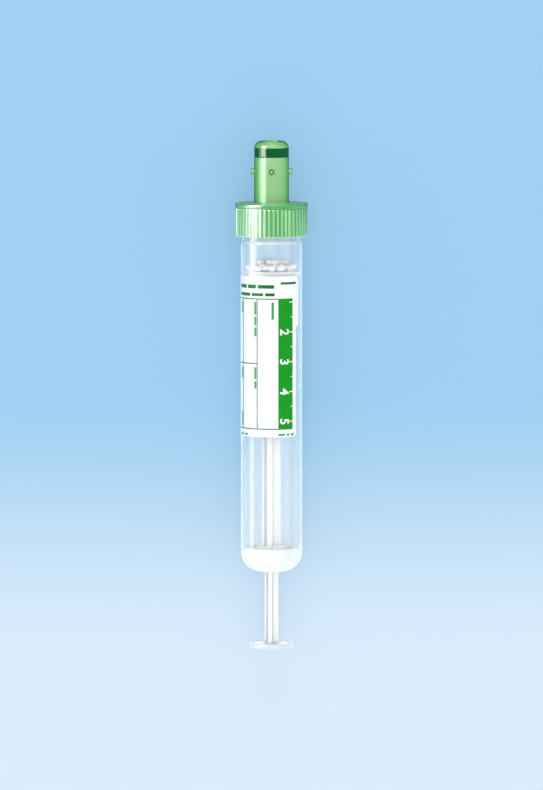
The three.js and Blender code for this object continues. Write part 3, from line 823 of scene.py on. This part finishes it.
# Painted shade: how much of the grey each point takes, on the thin end, the blade flanks, the disc's face, rim and
# line, and the stem's foot.
thin_end_shade, disc_shade, disc_rim_shade, disc_line_shade, stem_foot_shade = 0.1, 0.35, 0.7, 1.2, 0.9
rim_width, line_inset, line_half, foot_radius = 0.5, 0.75, 0.2, 2.5
blade_points = [14, 4, 3]
valley = np.where(z < taper_start, thin_end_shade, 0.0)
flank = np.tile(np.repeat([0.0, 1.0, 0.0], blade_points), 4 * len(stem_heights))
valley[:len(flank)] = np.maximum(valley[:len(flank)], flank)
on_disc = z < disc_top + 0.4
valley[z < disc_top + 0.05] = disc_shade
valley[on_disc & (across > disc.outer - rim_width)] = disc_rim_shade
valley[on_disc & (abs(across - disc.outer + line_inset) < line_half)] = disc_line_shade
valley[on_disc & (across < foot_radius)] = stem_foot_shade
mark(plunger_stem, "valley", valley)
report(plunger_stem)

# %% [markdown]
# The piston is a stiff core between two discs, with a barbed tail that the collar
# catches. A soft sleeve round the core has a lip near each end, which wipes the
# bore. Both are plain turned shapes, so each is one softened profile.

# %% Build the piston and its seal
land, land_radius, core = 1.2, piston.outer, seal.inner - 0.3
tail_top, tail_radius, barb = piston.low + 3.5, 2.5, 0.25
socket, pressed = pin_radius + 0.3, bore + 0.006
piston_shape = lathe([softened([
    (0, rod.high + 0.3), (bulb_radius + 0.3, rod.high + 0.1), (bulb_radius + 0.3, rod_end + pin_length - 0.3),
    (socket, rod_end + pin_length - 0.5), (socket, piston.low, 0.1), (tail_radius - barb, piston.low, 0.1),
    (tail_radius, piston.low + 2 * barb, 0.1), (tail_radius - barb, piston.low + 4 * barb, 0.1),
    (tail_radius - barb, tail_top, 0.3), (land_radius, tail_top, 0.2), (land_radius, tail_top + land, 0.1),
    (core, tail_top + land, 0.1), (core, piston.high - land, 0.1), (pressed, piston.high - land, 0.1),
    (pressed, piston.high, 0.2), (0, piston.high)])], full_turn(112))
report(piece("piston_core", piston_shape, piston_white, "plunger", ["piston_body"]))


sleeve_radius = seal.outer - 0.35


def lip(z):
    """The corners of one wiping lip round a height."""
    return [(sleeve_radius, z - 0.7, 0.2), (seal.outer, z - 0.15, 0.12), (seal.outer, z + 0.15, 0.12),
            (sleeve_radius, z + 0.7, 0.2)]


seal_shape = lathe([softened([
    (seal.inner, seal.low, 0.1), (sleeve_radius, seal.low, 0.15), *lip(seal.low + 0.95), *lip(seal.high - 0.95),
    (sleeve_radius, seal.high, 0.15), (seal.inner, seal.high, 0.1)], closed=True)], full_turn(112))
report(piece("piston_sleeve", seal_shape, seal_white, "plunger", ["piston_seal"]))

# %% [markdown]
# ## The beads
#
# Small coated beads lie in front of the piston. A real granule isn't a ball: it's
# slightly flattened and lumpy. Each bead here is a ball that is squeezed and whose
# radius is changed by a few slow waves, with other phases for each bead, so no two
# are alike. Their coats stick a little, so neighbours may press into each other.

# %% Build the beads
golden_angle, swell, lumpiness, squeeze, bead_gap = 2.399, 1.14, 0.1, 0.8, 0.05


def granule(centre, radius, seed):
    """A lumpy pebble round a scene point: a squeezed ball with three slow waves of its angles added to its radius,
    turned its own way, and pressed flat where it would reach past the wall of the bore. Fans close its poles."""
    rows, columns = 13, 24
    rise = np.linspace(-math.pi / 2, math.pi / 2, rows + 2)[:, None]
    turn = full_turn(columns)
    phases = golden_angle * seed + np.array([0.0, 1.9, 4.1])
    waves = sum(np.sin(k * turn + phase) * np.cos(rise) ** k for k, phase in zip((2, 3, 1), phases)) / 3
    r = radius * (swell + lumpiness * (waves + 0.5 * np.sin(3 * rise + phases[0])))
    ball = np.stack([r * np.cos(rise) * np.cos(turn), r * np.cos(rise) * np.sin(turn),
                     squeeze * r * np.sin(rise) + 0 * turn], -1)
    body = np.concatenate([ball[1:-1].reshape(-1, 3), ball[[0, -1], 0]])
    spin = np.array(Matrix.Rotation(phases[1], 3, "X") @ Matrix.Rotation(phases[2], 3, "Y"))
    x, y, z = in_tube(np.array(centre) + body @ spin.T)
    inward = np.minimum(1, (bore - bead_gap) / np.hypot(x, y))
    faces = grid_faces(rows, columns, False, True).tolist()
    return place(inward * x, inward * y, z), faces + pole_fans(rows, columns, rows * columns, rows * columns + 1)


bead_nodes = sorted(name for name in frame["nodes"] if name.startswith("bead_"))
for seed, node in enumerate(bead_nodes):
    low_corner, high_corner = np.array(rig.box(node))
    size = max(high_corner - low_corner) / 2
    pebble = granule((low_corner + high_corner) / 2, size, seed)
    piece(f"granule_{node[-2:]}", pebble, bead_white, "plunger", [node], crease=60)
print(len(bead_nodes), "beads of about", round(2 * size / MM, 2), "mm")

# %% [markdown]
# ## The screw cap
#
# The cap is one moulding with two jobs. Its skirt is a nut with a ribbed grip,
# and its nozzle takes the needle holder. One closed profile makes both, and the
# ribs are a relief on the skirt: a repeated trapezoid with eased sides. So that
# each rib has the same few points, the angles are placed rib by rib instead of
# evenly. The cap's own thread stands inwards from its wall, so it's the same
# ridge with its sign turned round.

# %% Build the screw cap
rib_count, rib_height, rib_foot, rib_ease = 52, 0.17, 0.36, 0.16
skirt_inner, skirt_wall = 8.1, 0.65
skirt_outer = skirt_inner + skirt_wall
rim_low, plate_low = flange - 1.1, mouth + 0.3
plug_radius, plug_wall, plug_length = bore - 0.2, 0.75, 4.0
nozzle, nozzle_wall, mouth_radius, top_radius = 4.3, 1.1, 2.1, 3.0
ring_seat, septum_seat = ring.inner - 0.05, septum.high + 0.3
nozzle_bore, plug_bore, plug_end = nozzle - nozzle_wall, plug_radius - plug_wall, plate_low - plug_length
rib_pitch = 2 * math.pi / rib_count
rib_stops = np.array([-0.42, -0.33, -0.24, -0.12, 0.0, 0.12, 0.24, 0.33]) * rib_pitch
cap_turns = (math.pi + rib_pitch * (np.arange(rib_count)[:, None] + 0.5) + rib_stops).ravel()


def ribs(z, turns):
    """relief(z, a) of the grip: full height over each rib's middle, eased to none between ribs and at both ends."""
    aside = np.abs(np.mod(turns - math.pi, rib_pitch) / rib_pitch - 0.5)
    share = np.clip((rib_foot - aside) / rib_ease, 0, 1)
    ends = np.clip((z - cap.low) / 0.25, 0, 1) * np.clip((rim_low - 0.1 - z) / 0.3, 0, 1)
    return rib_height * share * share * (3 - 2 * share) * np.sqrt(ends)


def dome(start, end, steps):
    """Part of the nozzle's rounded end: a quarter ellipse whose share of the width is raised to the power 1.5."""
    across, up = quarter(0, 0, 1, 1, start, end, steps).T
    foot = ring.high + 0.06
    return np.stack([top_radius + (nozzle - top_radius) * across ** 1.5, foot + (cap.high - foot) * up], 1)


cap_start = cap.low + 0.8
cap_angle = 2 * math.pi * (cap_start - thread_start + thread_pitch / 2) / thread_pitch
cap_ridge = skirt_inner - (neck_radius + 0.2)
skirt_rows = np.concatenate([cap.low + np.array([0.1, 0.16, 0.25, 0.4]), np.linspace(cap.low + 1, rim_low - 0.8, 6),
                             rim_low - np.array([0.45, 0.32, 0.2, 0.1])])
cap_shape = lathe([
    softened([(skirt_inner, cap.low + 0.5), (skirt_inner, cap.low, 0.12), (skirt_outer - 0.05, cap.low, 0.1),
              (skirt_outer, cap.low + 0.1)]),
    (np.stack([np.full_like(skirt_rows, skirt_outer), skirt_rows], 1), ribs),
    softened([(skirt_outer, rim_low - 0.02), (skirt_outer + 0.03, rim_low, 0.02),
              (cap.outer - 0.02, rim_low + 0.12, 0.15), (cap.outer, flange - 0.5, 0.2),
              (cap.outer - 0.02, flange, 0.42), (nozzle + 1.4, flange - 0.02), (nozzle, flange - 0.02, 0.3),
              (nozzle, ring.low - 0.06, 0.05), (ring_seat, ring.low - 0.04), (ring_seat, ring.high + 0.04),
              (nozzle, ring.high + 0.06, 0.05), (nozzle, ring.high + 0.2)]),
    dome(8, 50, 6),
    softened([dome(51, 52, 2)[0], (*(dome(52, 53, 2)[0] - (0.13, 0.05)), 0.03), dome(62, 63, 2)[0]]),
    dome(64, 86, 5),
    softened([(top_radius - 0.12, cap.high), (mouth_radius, cap.high, 0.25), (mouth_radius, septum_seat, 0.05),
              (nozzle_bore, septum_seat), (nozzle_bore, plate_low, 0.3), (plug_bore, plate_low, 0.3),
              (plug_bore, plug_end, 0.1), (plug_radius - 0.2, plug_end, 0.1), (plug_radius, plug_end + 0.4, 0.2),
              (plug_radius, plate_low, 0.1), (skirt_inner, plate_low, 0.2), (skirt_inner, plate_low - 0.6)]),
    (straight(skirt_inner, plate_low - 0.7, cap.low + 0.6, 0.12), screw_thread(cap_start, cap_angle, -cap_ridge)),
], cap_turns)
green_cap = piece("green_cap", cap_shape, cap_green, "cap", ["screw_cap"])
# Painted highlight: the share of paler green at each point, on the rib crests, the flange's top face and the skirt's
# lower lip.
crest_highlight_half, flange_top_highlight, skirt_lip_highlight = 0.2, 0.8, 0.5
x, y, z = in_tube(cap_shape[0])
across = np.hypot(x, y)
on_ribs = (z > cap.low + 0.05) & (z < rim_low - 0.05) & (across > skirt_outer)
from_crest = np.abs(np.mod(np.arctan2(y, x) - math.pi, rib_pitch) / rib_pitch - 0.5)
ridge = np.clip(1 - from_crest / crest_highlight_half, 0, 1) * on_ribs
ridge += flange_top_highlight * (z > flange - 0.3) * (across < cap.outer - 0.25) + skirt_lip_highlight * (z < cap.low + 0.3)
mark(green_cap, "ridge", ridge)


def in_nozzle(x, y, z, slope):
    """The nozzle's outside above the flange and its bore above the plate."""
    across = np.hypot(x, y)
    return (across < nozzle + 0.25) & (z > np.where(across < nozzle - 0.5, plate_low + 0.2, flange + 0.1))


refinish(green_cap, nozzle_green, in_nozzle)
report(green_cap)

# %% [markdown]
# Four blunt pegs stand out of the nozzle, and the needle holder turns in under
# them. A peg is a little lathe of its own, round a line that leaves the nozzle at
# a right angle. Each has a narrow ring groove in its end, whose floor and walls
# take the dark ring's green as painted shade.

# %% Build the pegs and the dark ring
peg_radius, peg_reach, peg_height, peg_count = 0.75, 0.95, 7.85, 4
groove_outer, groove_inner = 0.62, 0.4


def peg(turn):
    """A turned peg: its own axis points out of the nozzle at that angle, so z in its profile is how far out it is."""
    profile = softened([
        (peg_radius, nozzle - 0.5), (peg_radius, nozzle + peg_reach, 0.15), (groove_outer, nozzle + peg_reach, 0.03),
        (groove_outer, nozzle + peg_reach - 0.3), (groove_inner, nozzle + peg_reach - 0.3),
        (groove_inner, nozzle + peg_reach - 0.05, 0.04), (0.04, nozzle + peg_reach - 0.05)])
    around = full_turn(28)
    side, up, out = profile[:, :1] * np.cos(around), profile[:, :1] * np.sin(around), profile[:, 1:] + 0 * around
    points = place(out * math.cos(turn) - side * math.sin(turn), out * math.sin(turn) + side * math.cos(turn),
                   flange + peg_height + up)
    return points.reshape(-1, 3), bar_faces(*out.shape)


def in_groove(x, y, z, slope):
    """The floor and walls of the groove in each peg's end, which take a dark green as painted shade."""
    beside, out = np.hypot(np.minimum(abs(x), abs(y)), z - flange - peg_height), np.hypot(x, y)
    between = (beside > groove_inner - 0.02) & (beside < groove_outer + 0.01)
    return between & (out > nozzle + 0.4) & (out < nozzle + peg_reach - 0.08)


all_pegs = together(*[peg(turn) for turn in full_turn(peg_count)])
pegs = piece("holder_pegs", all_pegs, nozzle_green, "cap", slot="cap_green")
# Painted shade: the dark ring's green on the floor and walls of each peg's groove.
refinish(pegs, ring_green, in_groove)
report(pegs)
ring_shape = lathe([softened([(ring.inner, ring.low, 0.05), (ring.outer, ring.low, 0.08), (ring.outer, ring.high, 0.08),
                              (ring.inner, ring.high, 0.05)], closed=True)])
report(piece("dark_ring", ring_shape, ring_green, "cap", ["neck_ring"]))

# %% [markdown]
# The septum is the rubber plug behind the mouth of the nozzle. It's solid where
# the needle goes through it and hollow below, where a thin sleeve of the same
# rubber lines the bore. Through the tinted wall it makes the nozzle look pale.

# %% Build the septum
septum_skin, septum_wall, sleeve_wall, sleeve_low = 2.8, 1.1, 0.35, flange - 0.8
septum_shape = lathe([softened([
    (0, septum.high - septum_skin), (septum.outer - septum_wall, septum.high - septum_skin, 0.2),
    (septum.outer - septum_wall, septum.low, 0.3), (septum.outer - sleeve_wall, septum.low - 0.5, 0.3),
    (septum.outer - sleeve_wall, sleeve_low, 0.1), (septum.outer, sleeve_low, 0.1), (septum.outer, septum.high, 0.12),
    (1.3, septum.high, 0.2), (0.9, septum.high - 0.15, 0.2), (0, septum.high - 0.15)])], full_turn(64))
report(piece("rubber_septum", septum_shape, septum_rubber, "septum_plug", ["septum"]))

# %% [markdown]
# ## The label
#
# The label is one sheet of paper that is wrapped round three fifths of the
# barrel, with a step in its right edge. At every height it runs from a left edge
# to a right edge, so it's enough to say where the two edges are. Each row is a
# thin closed arc, and the column helper joins the rows into a solid sheet.

# %% Build the paper label
paper_thickness, air = 0.09, 0.012
step_height, step_right, corner = 27.5, 52.0, 0.9
paper_inner = barrel_radius + air
paper_outer = paper_inner + paper_thickness


def label_edges(z):
    """The label's two edges at a height, in degrees: straight, with rounded corners and a step on the right."""
    from_end = np.minimum(z - paper.low, paper.high - z)
    round_off = corner - np.sqrt(np.maximum(corner ** 2 - np.maximum(corner - from_end, 0) ** 2, 0))
    trim = np.degrees(round_off / paper_outer)
    blend = np.clip((z - paper.low - step_height) / 0.5 + 0.5, 0, 1)
    right = step_right + (paper.right - step_right) * blend * blend * (3 - 2 * blend)
    return paper.left + trim, right - trim


label_rows = paper.low + np.concatenate([
    corner * (1 - np.cos(np.linspace(0, math.pi / 2, 9))), np.linspace(4, step_height - 1, 6),
    step_height + np.linspace(-0.3, 0.3, 13), [step_height + 3, step_height + 7],
    paper.high - paper.low - corner * (1 - np.cos(np.linspace(math.pi / 2, 0, 9)))])
left_edge, right_edge = label_edges(label_rows)
across = np.linspace(0, 1, 90)
arc = np.radians(left_edge[:, None] + (right_edge - left_edge)[:, None] * across)
arc = np.concatenate([arc, arc[:, ::-1]], 1)
sheet_radius = np.where(np.arange(2 * len(across)) < len(across), paper_outer, paper_inner)
label_shape = column(np.stack([sheet_radius * np.cos(arc), sheet_radius * np.sin(arc)], -1), label_rows)
report(piece("wrapped_label", label_shape, label_paper, "tube", ["label"]))

# %% [markdown]
# The print is a form to fill in: frame lines, a broad green bar, and short strips
# where captions stand. An image could carry it, but plain shapes stay crisp at
# any distance. Each is a film of ink, a few hundredths of a millimetre thick,
# that follows the curve of the paper. A strip is given by its place in degrees
# round the barrel and millimetres along it.

# %% Print the frame, the bar and the strips
ink_film = 0.014


def strip(left, right, low, high):
    """A patch of ink: a thin box bent round the label from one angle to another and from one height to another."""
    inner, outer = paper_outer - 0.01, paper_outer + ink_film
    profile = np.array([(inner, low), (outer, low), (outer, high), (inner, high)])
    return sector(profile, left, right, max(2, int(abs(right - left) / 3)))


def hairline(turn, low, high):
    """A line along the barrel."""
    half = math.degrees(half_line / paper_outer)
    return strip(turn - half, turn + half, low, high)


half_line = 0.125
bar_left, bar_right, bar_low, bar_high = 12.6, 42.7, 36.1, 68.7
form_left, form_high, form_middle, form_turns = paper.left + 4, 68.6, 52.5, (-27.5, -64.4, -101, -138)
bar = strip(bar_left, bar_right, bar_low, bar_high)
report(piece("print_bar", bar, bar_ink, "tube", slot="label_paper"))

lines = [strip(form_left, bar_left, form_high - half_line, form_high + half_line),
         strip(form_left, bar_left, bar_low, bar_low + 2 * half_line),
         strip(form_left, form_turns[0], form_middle - half_line, form_middle + half_line)]
lines += [hairline(turn, bar_low, form_high) for turn in form_turns]
dash = strip(17, 51.6, 72.2, 72.75)
report(piece("print_frame", together(*lines, dash), line_ink, "tube", slot="label_paper"))

# %% [markdown]
# Captions are small, so each is a row of short strips with the rhythm of words.
# The function below splits a length into words of uneven size, always in the same
# way, and works along the barrel or across it.

# %% Print the caption strips
word_gap, caption_width, caption_low = 0.5, 0.62, 34.55


def words(lengths):
    """Start and end of each word of a line of those lengths."""
    starts = np.cumsum([0, *lengths[:-1]]) + word_gap * np.arange(len(lengths))
    return zip(starts, starts + lengths)


def caption_along(turn, top, lengths):
    """Strips that are read down the barrel, from top on, centred on an angle in degrees."""
    half = math.degrees(caption_width / 2 / paper_outer)
    return [strip(turn - half, turn + half, top - end, top - start) for start, end in words(lengths)]


def caption_across(left, low, lengths, height):
    """Strips that are read round the barrel, from left on, standing on a height."""
    return [strip(left + math.degrees(start / paper_outer), left + math.degrees(end / paper_outer), low, low + height)
            for start, end in words(lengths)]


captions = sum([caption_along(*caption) for caption in [
    (2.2, 67.8, [4.3]), (-31.5, 67.9, [3.2, 2.2, 2.2]), (-31.5, 51.6, [3.0, 1.8]), (-68.5, 67.9, [2.8]),
    (-68.5, 51.6, [2.8]), (-68.5, 40.4, [3.5]), (-105, 67.9, [3.2, 1.6]), (-105, 51.6, [2.6])]], [])
captions += caption_across(-74, caption_low, [1.6, 1.2], 0.5) + caption_across(13, caption_low, [1.7, 0.7, 1.0], 0.5)
report(piece("print_captions", together(*captions), caption_ink, "tube", slot="label_paper"))
headings = [*caption_across(-76, 71.2, [3.1, 2.6, 4.2], 0.9), *caption_across(-76, 69.3, [4.4, 3.2, 2.4], 0.75)]
report(piece("print_headings", together(*headings), line_ink, "tube", slot="label_paper"))

# %% [markdown]
# The broad bar carries a volume scale in white: a numeral for each millilitre and
# a tick for each half. Numerals are text objects. Text is flat, so it becomes a
# mesh first, is cut into narrow bands, and is then wrapped: what was its height
# becomes an angle round the label.

# %% Print the volume scale
import bmesh

bar_film = ink_film + 0.008
ink_relief, stroke, band = 0.006, 0.07, 0.22


def numeral(text, size, turn, z):
    """A numeral at an angle and a height: text u runs down the barrel, and text v becomes the angle v / radius."""
    curve = bpy.data.curves.new("numeral", "FONT")
    curve.body, curve.size, curve.extrude, curve.offset = text, size, ink_relief, stroke
    curve.align_x, curve.align_y = "CENTER", "CENTER"
    holder = bpy.data.objects.new("numeral", curve)
    solid = bmesh.new()
    solid.from_mesh(bpy.data.meshes.new_from_object(holder))
    bmesh.ops.remove_doubles(solid, verts=solid.verts, dist=1e-5)
    for level in np.arange(-size / 2, size / 2, band):
        everything = [*solid.verts, *solid.edges, *solid.faces]
        bmesh.ops.bisect_plane(solid, geom=everything, plane_co=(0, level, 0), plane_no=(0, 1, 0))
    flat = np.array([vertex.co for vertex in solid.verts])
    faces = [[vertex.index for vertex in face.verts] for face in solid.faces]
    solid.free()
    bpy.data.objects.remove(holder)
    angle = math.radians(turn) + flat[:, 1] / paper_outer
    radius = paper_outer + bar_film + flat[:, 2]
    return place(radius * np.cos(angle), radius * np.sin(angle), z - flat[:, 0]), faces


def tick(z, length, width):
    """A tick that runs in from the bar's right edge."""
    inner, outer, low, high = paper_outer, paper_outer + bar_film, z - width / 2, z + width / 2
    profile = np.array([(inner, low), (outer, low), (outer, high), (inner, high)])
    return sector(profile, bar_right - math.degrees(length / paper_outer), bar_right, 3)


millilitre = 7.42
white_ink = printed("white_ink", srgb(244, 250, 244), srgb(236, 244, 236), 0.05, 0.4)
numeral_size, numeral_turn, zero_height = 3.3, 24.0, 75.2
scale = [numeral(str(k), numeral_size, numeral_turn, zero_height - k * millilitre) for k in range(2, 6)]
scale += [tick(zero_height - k * millilitre, 1.0, 0.25) for k in range(1, 6)]
scale += [tick(zero_height - (k + 0.5) * millilitre, 0.6, 0.2) for k in range(1, 5)]
report(piece("print_scale", together(*scale), white_ink, "tube", slot="label_paper"))

# %% [markdown]
# ## Floor, light and camera
#
# The tube lies on a plain pale floor. Its blue deepens a little towards the cap. A
# pale floor under a clear tube would look dull in the tube's own shadow. So half of
# what is seen of it directly is its own colour without any shadow, and the other
# half is lit like the tube, which leaves a soft shadow. Through clear plastic it
# shows nearly all in its own colour. Mirrored in the sides of the barrel it's
# brighter, as over a lit table, and in the cap darker, which keeps the green deep.
# Light that bounces off it isn't changed.

# %% Lay the floor
shadowless = {"Is Camera Ray": 0.55, "Is Transmission Ray": 0.95}
mirrored_barrel, mirrored_cap = 2.2, 0.4
tint_from, tint_to, cap_from, cap_to = -0.072, 0.004, 0.036, 0.046


def floor_material():
    """Two pale blues, blended along the tube, with a faint mottle, lit by the lamps and in part by itself."""
    material, nodes, principled = new_material("floor_blue")
    here = nodes.new("ShaderNodeTexCoord")
    axes = nodes.new("ShaderNodeSeparateXYZ")
    share = add(nodes, "ShaderNodeMapRange", interpolation_type="SMOOTHSTEP", From_Min=tint_from, From_Max=tint_to)
    mottle = add(nodes, "ShaderNodeTexNoise", Scale=40.0, Detail=3.0)
    tint = add(nodes, "ShaderNodeMix", data_type="RGBA")
    rough = add(nodes, "ShaderNodeMapRange", To_Min=0.75, To_Max=0.85)
    tint.inputs["A"].default_value, tint.inputs["B"].default_value = srgb(211, 228, 243), srgb(155, 200, 233)
    principled.inputs["Specular IOR Level"].default_value = 0.1
    light, glow, mixed = (nodes.new("ShaderNode" + kind) for kind in ("LightPath", "Emission", "MixShader"))
    seen_through = arithmetic(nodes, "MULTIPLY", None, shadowless["Is Transmission Ray"])
    part = arithmetic(nodes, "MULTIPLY_ADD", None, shadowless["Is Camera Ray"])
    only_mirrored = arithmetic(nodes, "SUBTRACT", clamp=True)
    all_parts = arithmetic(nodes, "ADD")
    gleam = add(nodes, "ShaderNodeMapRange", From_Min=cap_from, From_Max=cap_to,
                To_Min=mirrored_barrel, To_Max=mirrored_cap)
    strength = add(nodes, "ShaderNodeMix", data_type="FLOAT")
    strength.inputs["A"].default_value = 1.0
    wire((here, "Object", axes, "Vector"), (axes, "X", share, "Value"), (share, "Result", tint, "Factor"),
         (tint, "Result", principled, "Base Color"), (here, "Object", mottle, "Vector"),
         (mottle, "Fac", rough, "Value"), (rough, "Result", principled, "Roughness"),
         (light, "Is Glossy Ray", only_mirrored, 0), (light, "Is Transmission Ray", only_mirrored, 1),
         (axes, "X", gleam, "Value"), (only_mirrored, 0, strength, "Factor"), (gleam, "Result", strength, "B"),
         (strength, "Result", glow, "Strength"), (tint, "Result", glow, "Color"),
         (light, "Is Transmission Ray", seen_through, 0), (light, "Is Camera Ray", part, 0),
         (seen_through, 0, part, 2), (part, 0, all_parts, 0), (only_mirrored, 0, all_parts, 1),
         (all_parts, 0, mixed, "Fac"), (principled, "BSDF", mixed, 1), (glow, "Emission", mixed, 2),
         (mixed, "Shader", nodes["Material Output"], "Surface"))
    return material


reach = 3.0
floor_mesh = bpy.data.meshes.new("floor")
floor_corners = [(-reach, -reach, 0), (reach, -reach, 0), (reach, reach, 0), (-reach, reach, 0)]
floor_mesh.from_pydata(floor_corners, [], [(0, 1, 2, 3)])
floor_mesh.materials.append(floor_material())
floor = bpy.data.objects.new("floor", floor_mesh)
bpy.context.scene.collection.objects.link(floor)
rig.stage(floor)
print("floor", 2 * reach, "m wide, its share without shadow", shadowless)

# %% [markdown]
# Soft light suits a glossy tube. The light itself comes from softboxes that gloss
# doesn't see, or their reflections would lie as grey bands along the middle of
# everything. The streaks come from cards at the sides, which only gloss sees. Four
# cards of growing width in one place make a streak with a soft edge, and a short
# one of its own carries it over the neck. A card's strength falls to nothing for a
# ray that has left a matt surface, and by a third for each clear surface that a
# ray has passed, so the far wall of the barrel hardly mirrors it. Each call gives a
# lamp's name, direction, distance, width, length and glow, and then, for some, how
# far along the tube the point lies that it hangs over.

# %% Hang the softboxes and the cards
card_dimming, tube_middle = 0.33, 0.008


def facing(direction, target, distance):
    """Where something hangs that looks at a point from that direction, with the tube running up its picture."""
    back = Vector(direction).normalized()
    side = Vector((1, 0, 0)).cross(back).normalized()
    turned = Matrix((side, back.cross(side), back)).transposed().to_4x4()
    turned.translation = Vector(target) + back * distance
    return turned


def hang(name, direction, distance, width, length, glow, along_tube=0.0):
    """An area lamp in a direction from a point along the tube, as bright to look at as glow times a white wall."""
    lamp = bpy.data.lights.new(name, "AREA")
    lamp.shape, lamp.size, lamp.size_y = "RECTANGLE", width, length
    lamp.energy = glow * math.pi * width * length
    holder = bpy.data.objects.new(name, lamp)
    holder.matrix_world = facing(direction, (along_tube, 0, tube_middle), distance)
    bpy.context.scene.collection.objects.link(holder)
    print(f"{name}: {lamp.energy:.1f} W over {width} by {length} m")
    return holder


def softbox(*settings):
    """A lamp that lights matt surfaces and doesn't show in gloss."""
    hang(*settings).visible_glossy = False


def card(*settings):
    """A bright card that shows in gloss and lights no matt surface."""
    holder = hang(*settings)
    holder.visible_diffuse = False
    holder.data.use_nodes = True
    nodes = holder.data.node_tree.nodes
    light = nodes.new("ShaderNodeLightPath")
    passed = arithmetic(nodes, "MULTIPLY_ADD", None, card_dimming)
    undimmed = arithmetic(nodes, "SUBTRACT", 1.0, clamp=True)
    wire((light, "Transmission Depth", passed, 0), (light, "Diffuse Depth", passed, 2),
         (passed, 0, undimmed, 1), (undimmed, 0, nodes["Emission"], "Strength"))


def leaning(left, cap=0):
    """The direction that leans from straight up towards the label's left and towards the cap, in degrees."""
    return (math.tan(math.radians(cap)), math.tan(math.radians(left)), 1.0)


softbox("overhead_box", leaning(0), 1.2, 0.95, 1.3, 1.15)
softbox("left_box", leaning(50), 1.1, 0.5, 1.2, 0.7)
softbox("cap_box", leaning(0, 60), 1.1, 1.0, 0.5, 1.6)
softbox("foot_box", leaning(0, -55), 1.1, 1.0, 0.5, 1.7)
softbox("left_low_box", leaning(78), 1.1, 0.4, 1.2, 0.9)
softbox("right_box", leaning(-55), 1.1, 1.0, 1.2, 0.72)
streak = 4.5
for width in (0.1, 0.2, 0.3, 0.4):
    card(f"barrel_card_{width:.1f}", leaning(85), 1.0, width, 0.858, streak, -0.379)
card("neck_card", leaning(74), 1.0, 0.55, 0.05, streak, -0.05)
card("cap_side_card", leaning(55), 1.0, 0.6, 0.8, 26.0, 0.392)
card("right_card", leaning(-70), 1.0, 0.9, 1.6, 0.15)
card("cap_card", leaning(0, 52), 1.1, 1.4, 0.3, 8.0)

# %% [markdown]
# The rest of the light comes from all round, at a strength that depends on the
# ray. What is seen directly or through clear plastic is a white studio, which also
# makes up for the light that the barrel's wall takes from the things inside it.
# Mirrored rays meet a dim one, so that gloss shows the cards and little else and
# the greens stay deep. Cycles calls a ray that has passed through clear plastic
# glossy too, so those are taken off again.

# %% Light the surroundings
fill_strength, seen_strength, gloss_strength = 0.6, 1.2, 0.12
world = bpy.data.worlds.new("studio")
world.use_nodes = True
nodes = world.node_tree.nodes
nodes["Background"].inputs["Color"].default_value = srgb(248, 251, 254)
light = nodes.new("ShaderNodeLightPath")
looking = arithmetic(nodes, "MAXIMUM")
mirrored = arithmetic(nodes, "SUBTRACT", clamp=True)
brighter = arithmetic(nodes, "MULTIPLY_ADD", None, seen_strength - fill_strength, fill_strength)
dimmer = arithmetic(nodes, "MULTIPLY_ADD", None, gloss_strength - fill_strength)
wire((light, "Is Camera Ray", looking, 0), (light, "Is Transmission Ray", looking, 1),
     (looking, 0, brighter, 0), (light, "Is Glossy Ray", mirrored, 0),
     (light, "Is Transmission Ray", mirrored, 1), (mirrored, 0, dimmer, 0), (brighter, 0, dimmer, 2),
     (dimmer, 0, nodes["Background"], "Strength"))
bpy.context.scene.world = world
bpy.context.scene.view_settings.view_transform = "Standard"
print(f"world: {fill_strength} for light, {seen_strength} to look at, {gloss_strength} in gloss")

# %% [markdown]
# The camera looks down on the tube from far away, through a long lens, so the
# tube hardly tapers. It leans a few degrees towards the cap, which opens the
# mouth of the nozzle and the face of the thumb disc.

# %% Set up the camera
camera_distance, camera_lean, camera_target, field = 1.6, math.radians(4.15), (0, 0, 0.0083), 0.1969
lens = bpy.data.cameras.new("camera")
lens.sensor_width = 36.0
lens.lens = lens.sensor_width * camera_distance / field
lens.clip_end = 20
camera = bpy.data.objects.new("camera", lens)
camera.matrix_world = facing((math.sin(camera_lean), 0, math.cos(camera_lean)), camera_target, camera_distance)
bpy.context.scene.collection.objects.link(camera)
bpy.context.scene.camera = camera
print(f"lens {lens.lens:.0f} mm, up is {np.round(camera.matrix_world.col[1][:3], 3)}")

# %% Finish
with open("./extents.json", "w") as size_file:
    json.dump({"cad": [[float(v) for v in corner_point] for corner_point in cad_box],
               "visual": [[float(v) for v in corner_point] for corner_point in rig.bounds()]}, size_file, indent=1)
print(open("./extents.json").read())
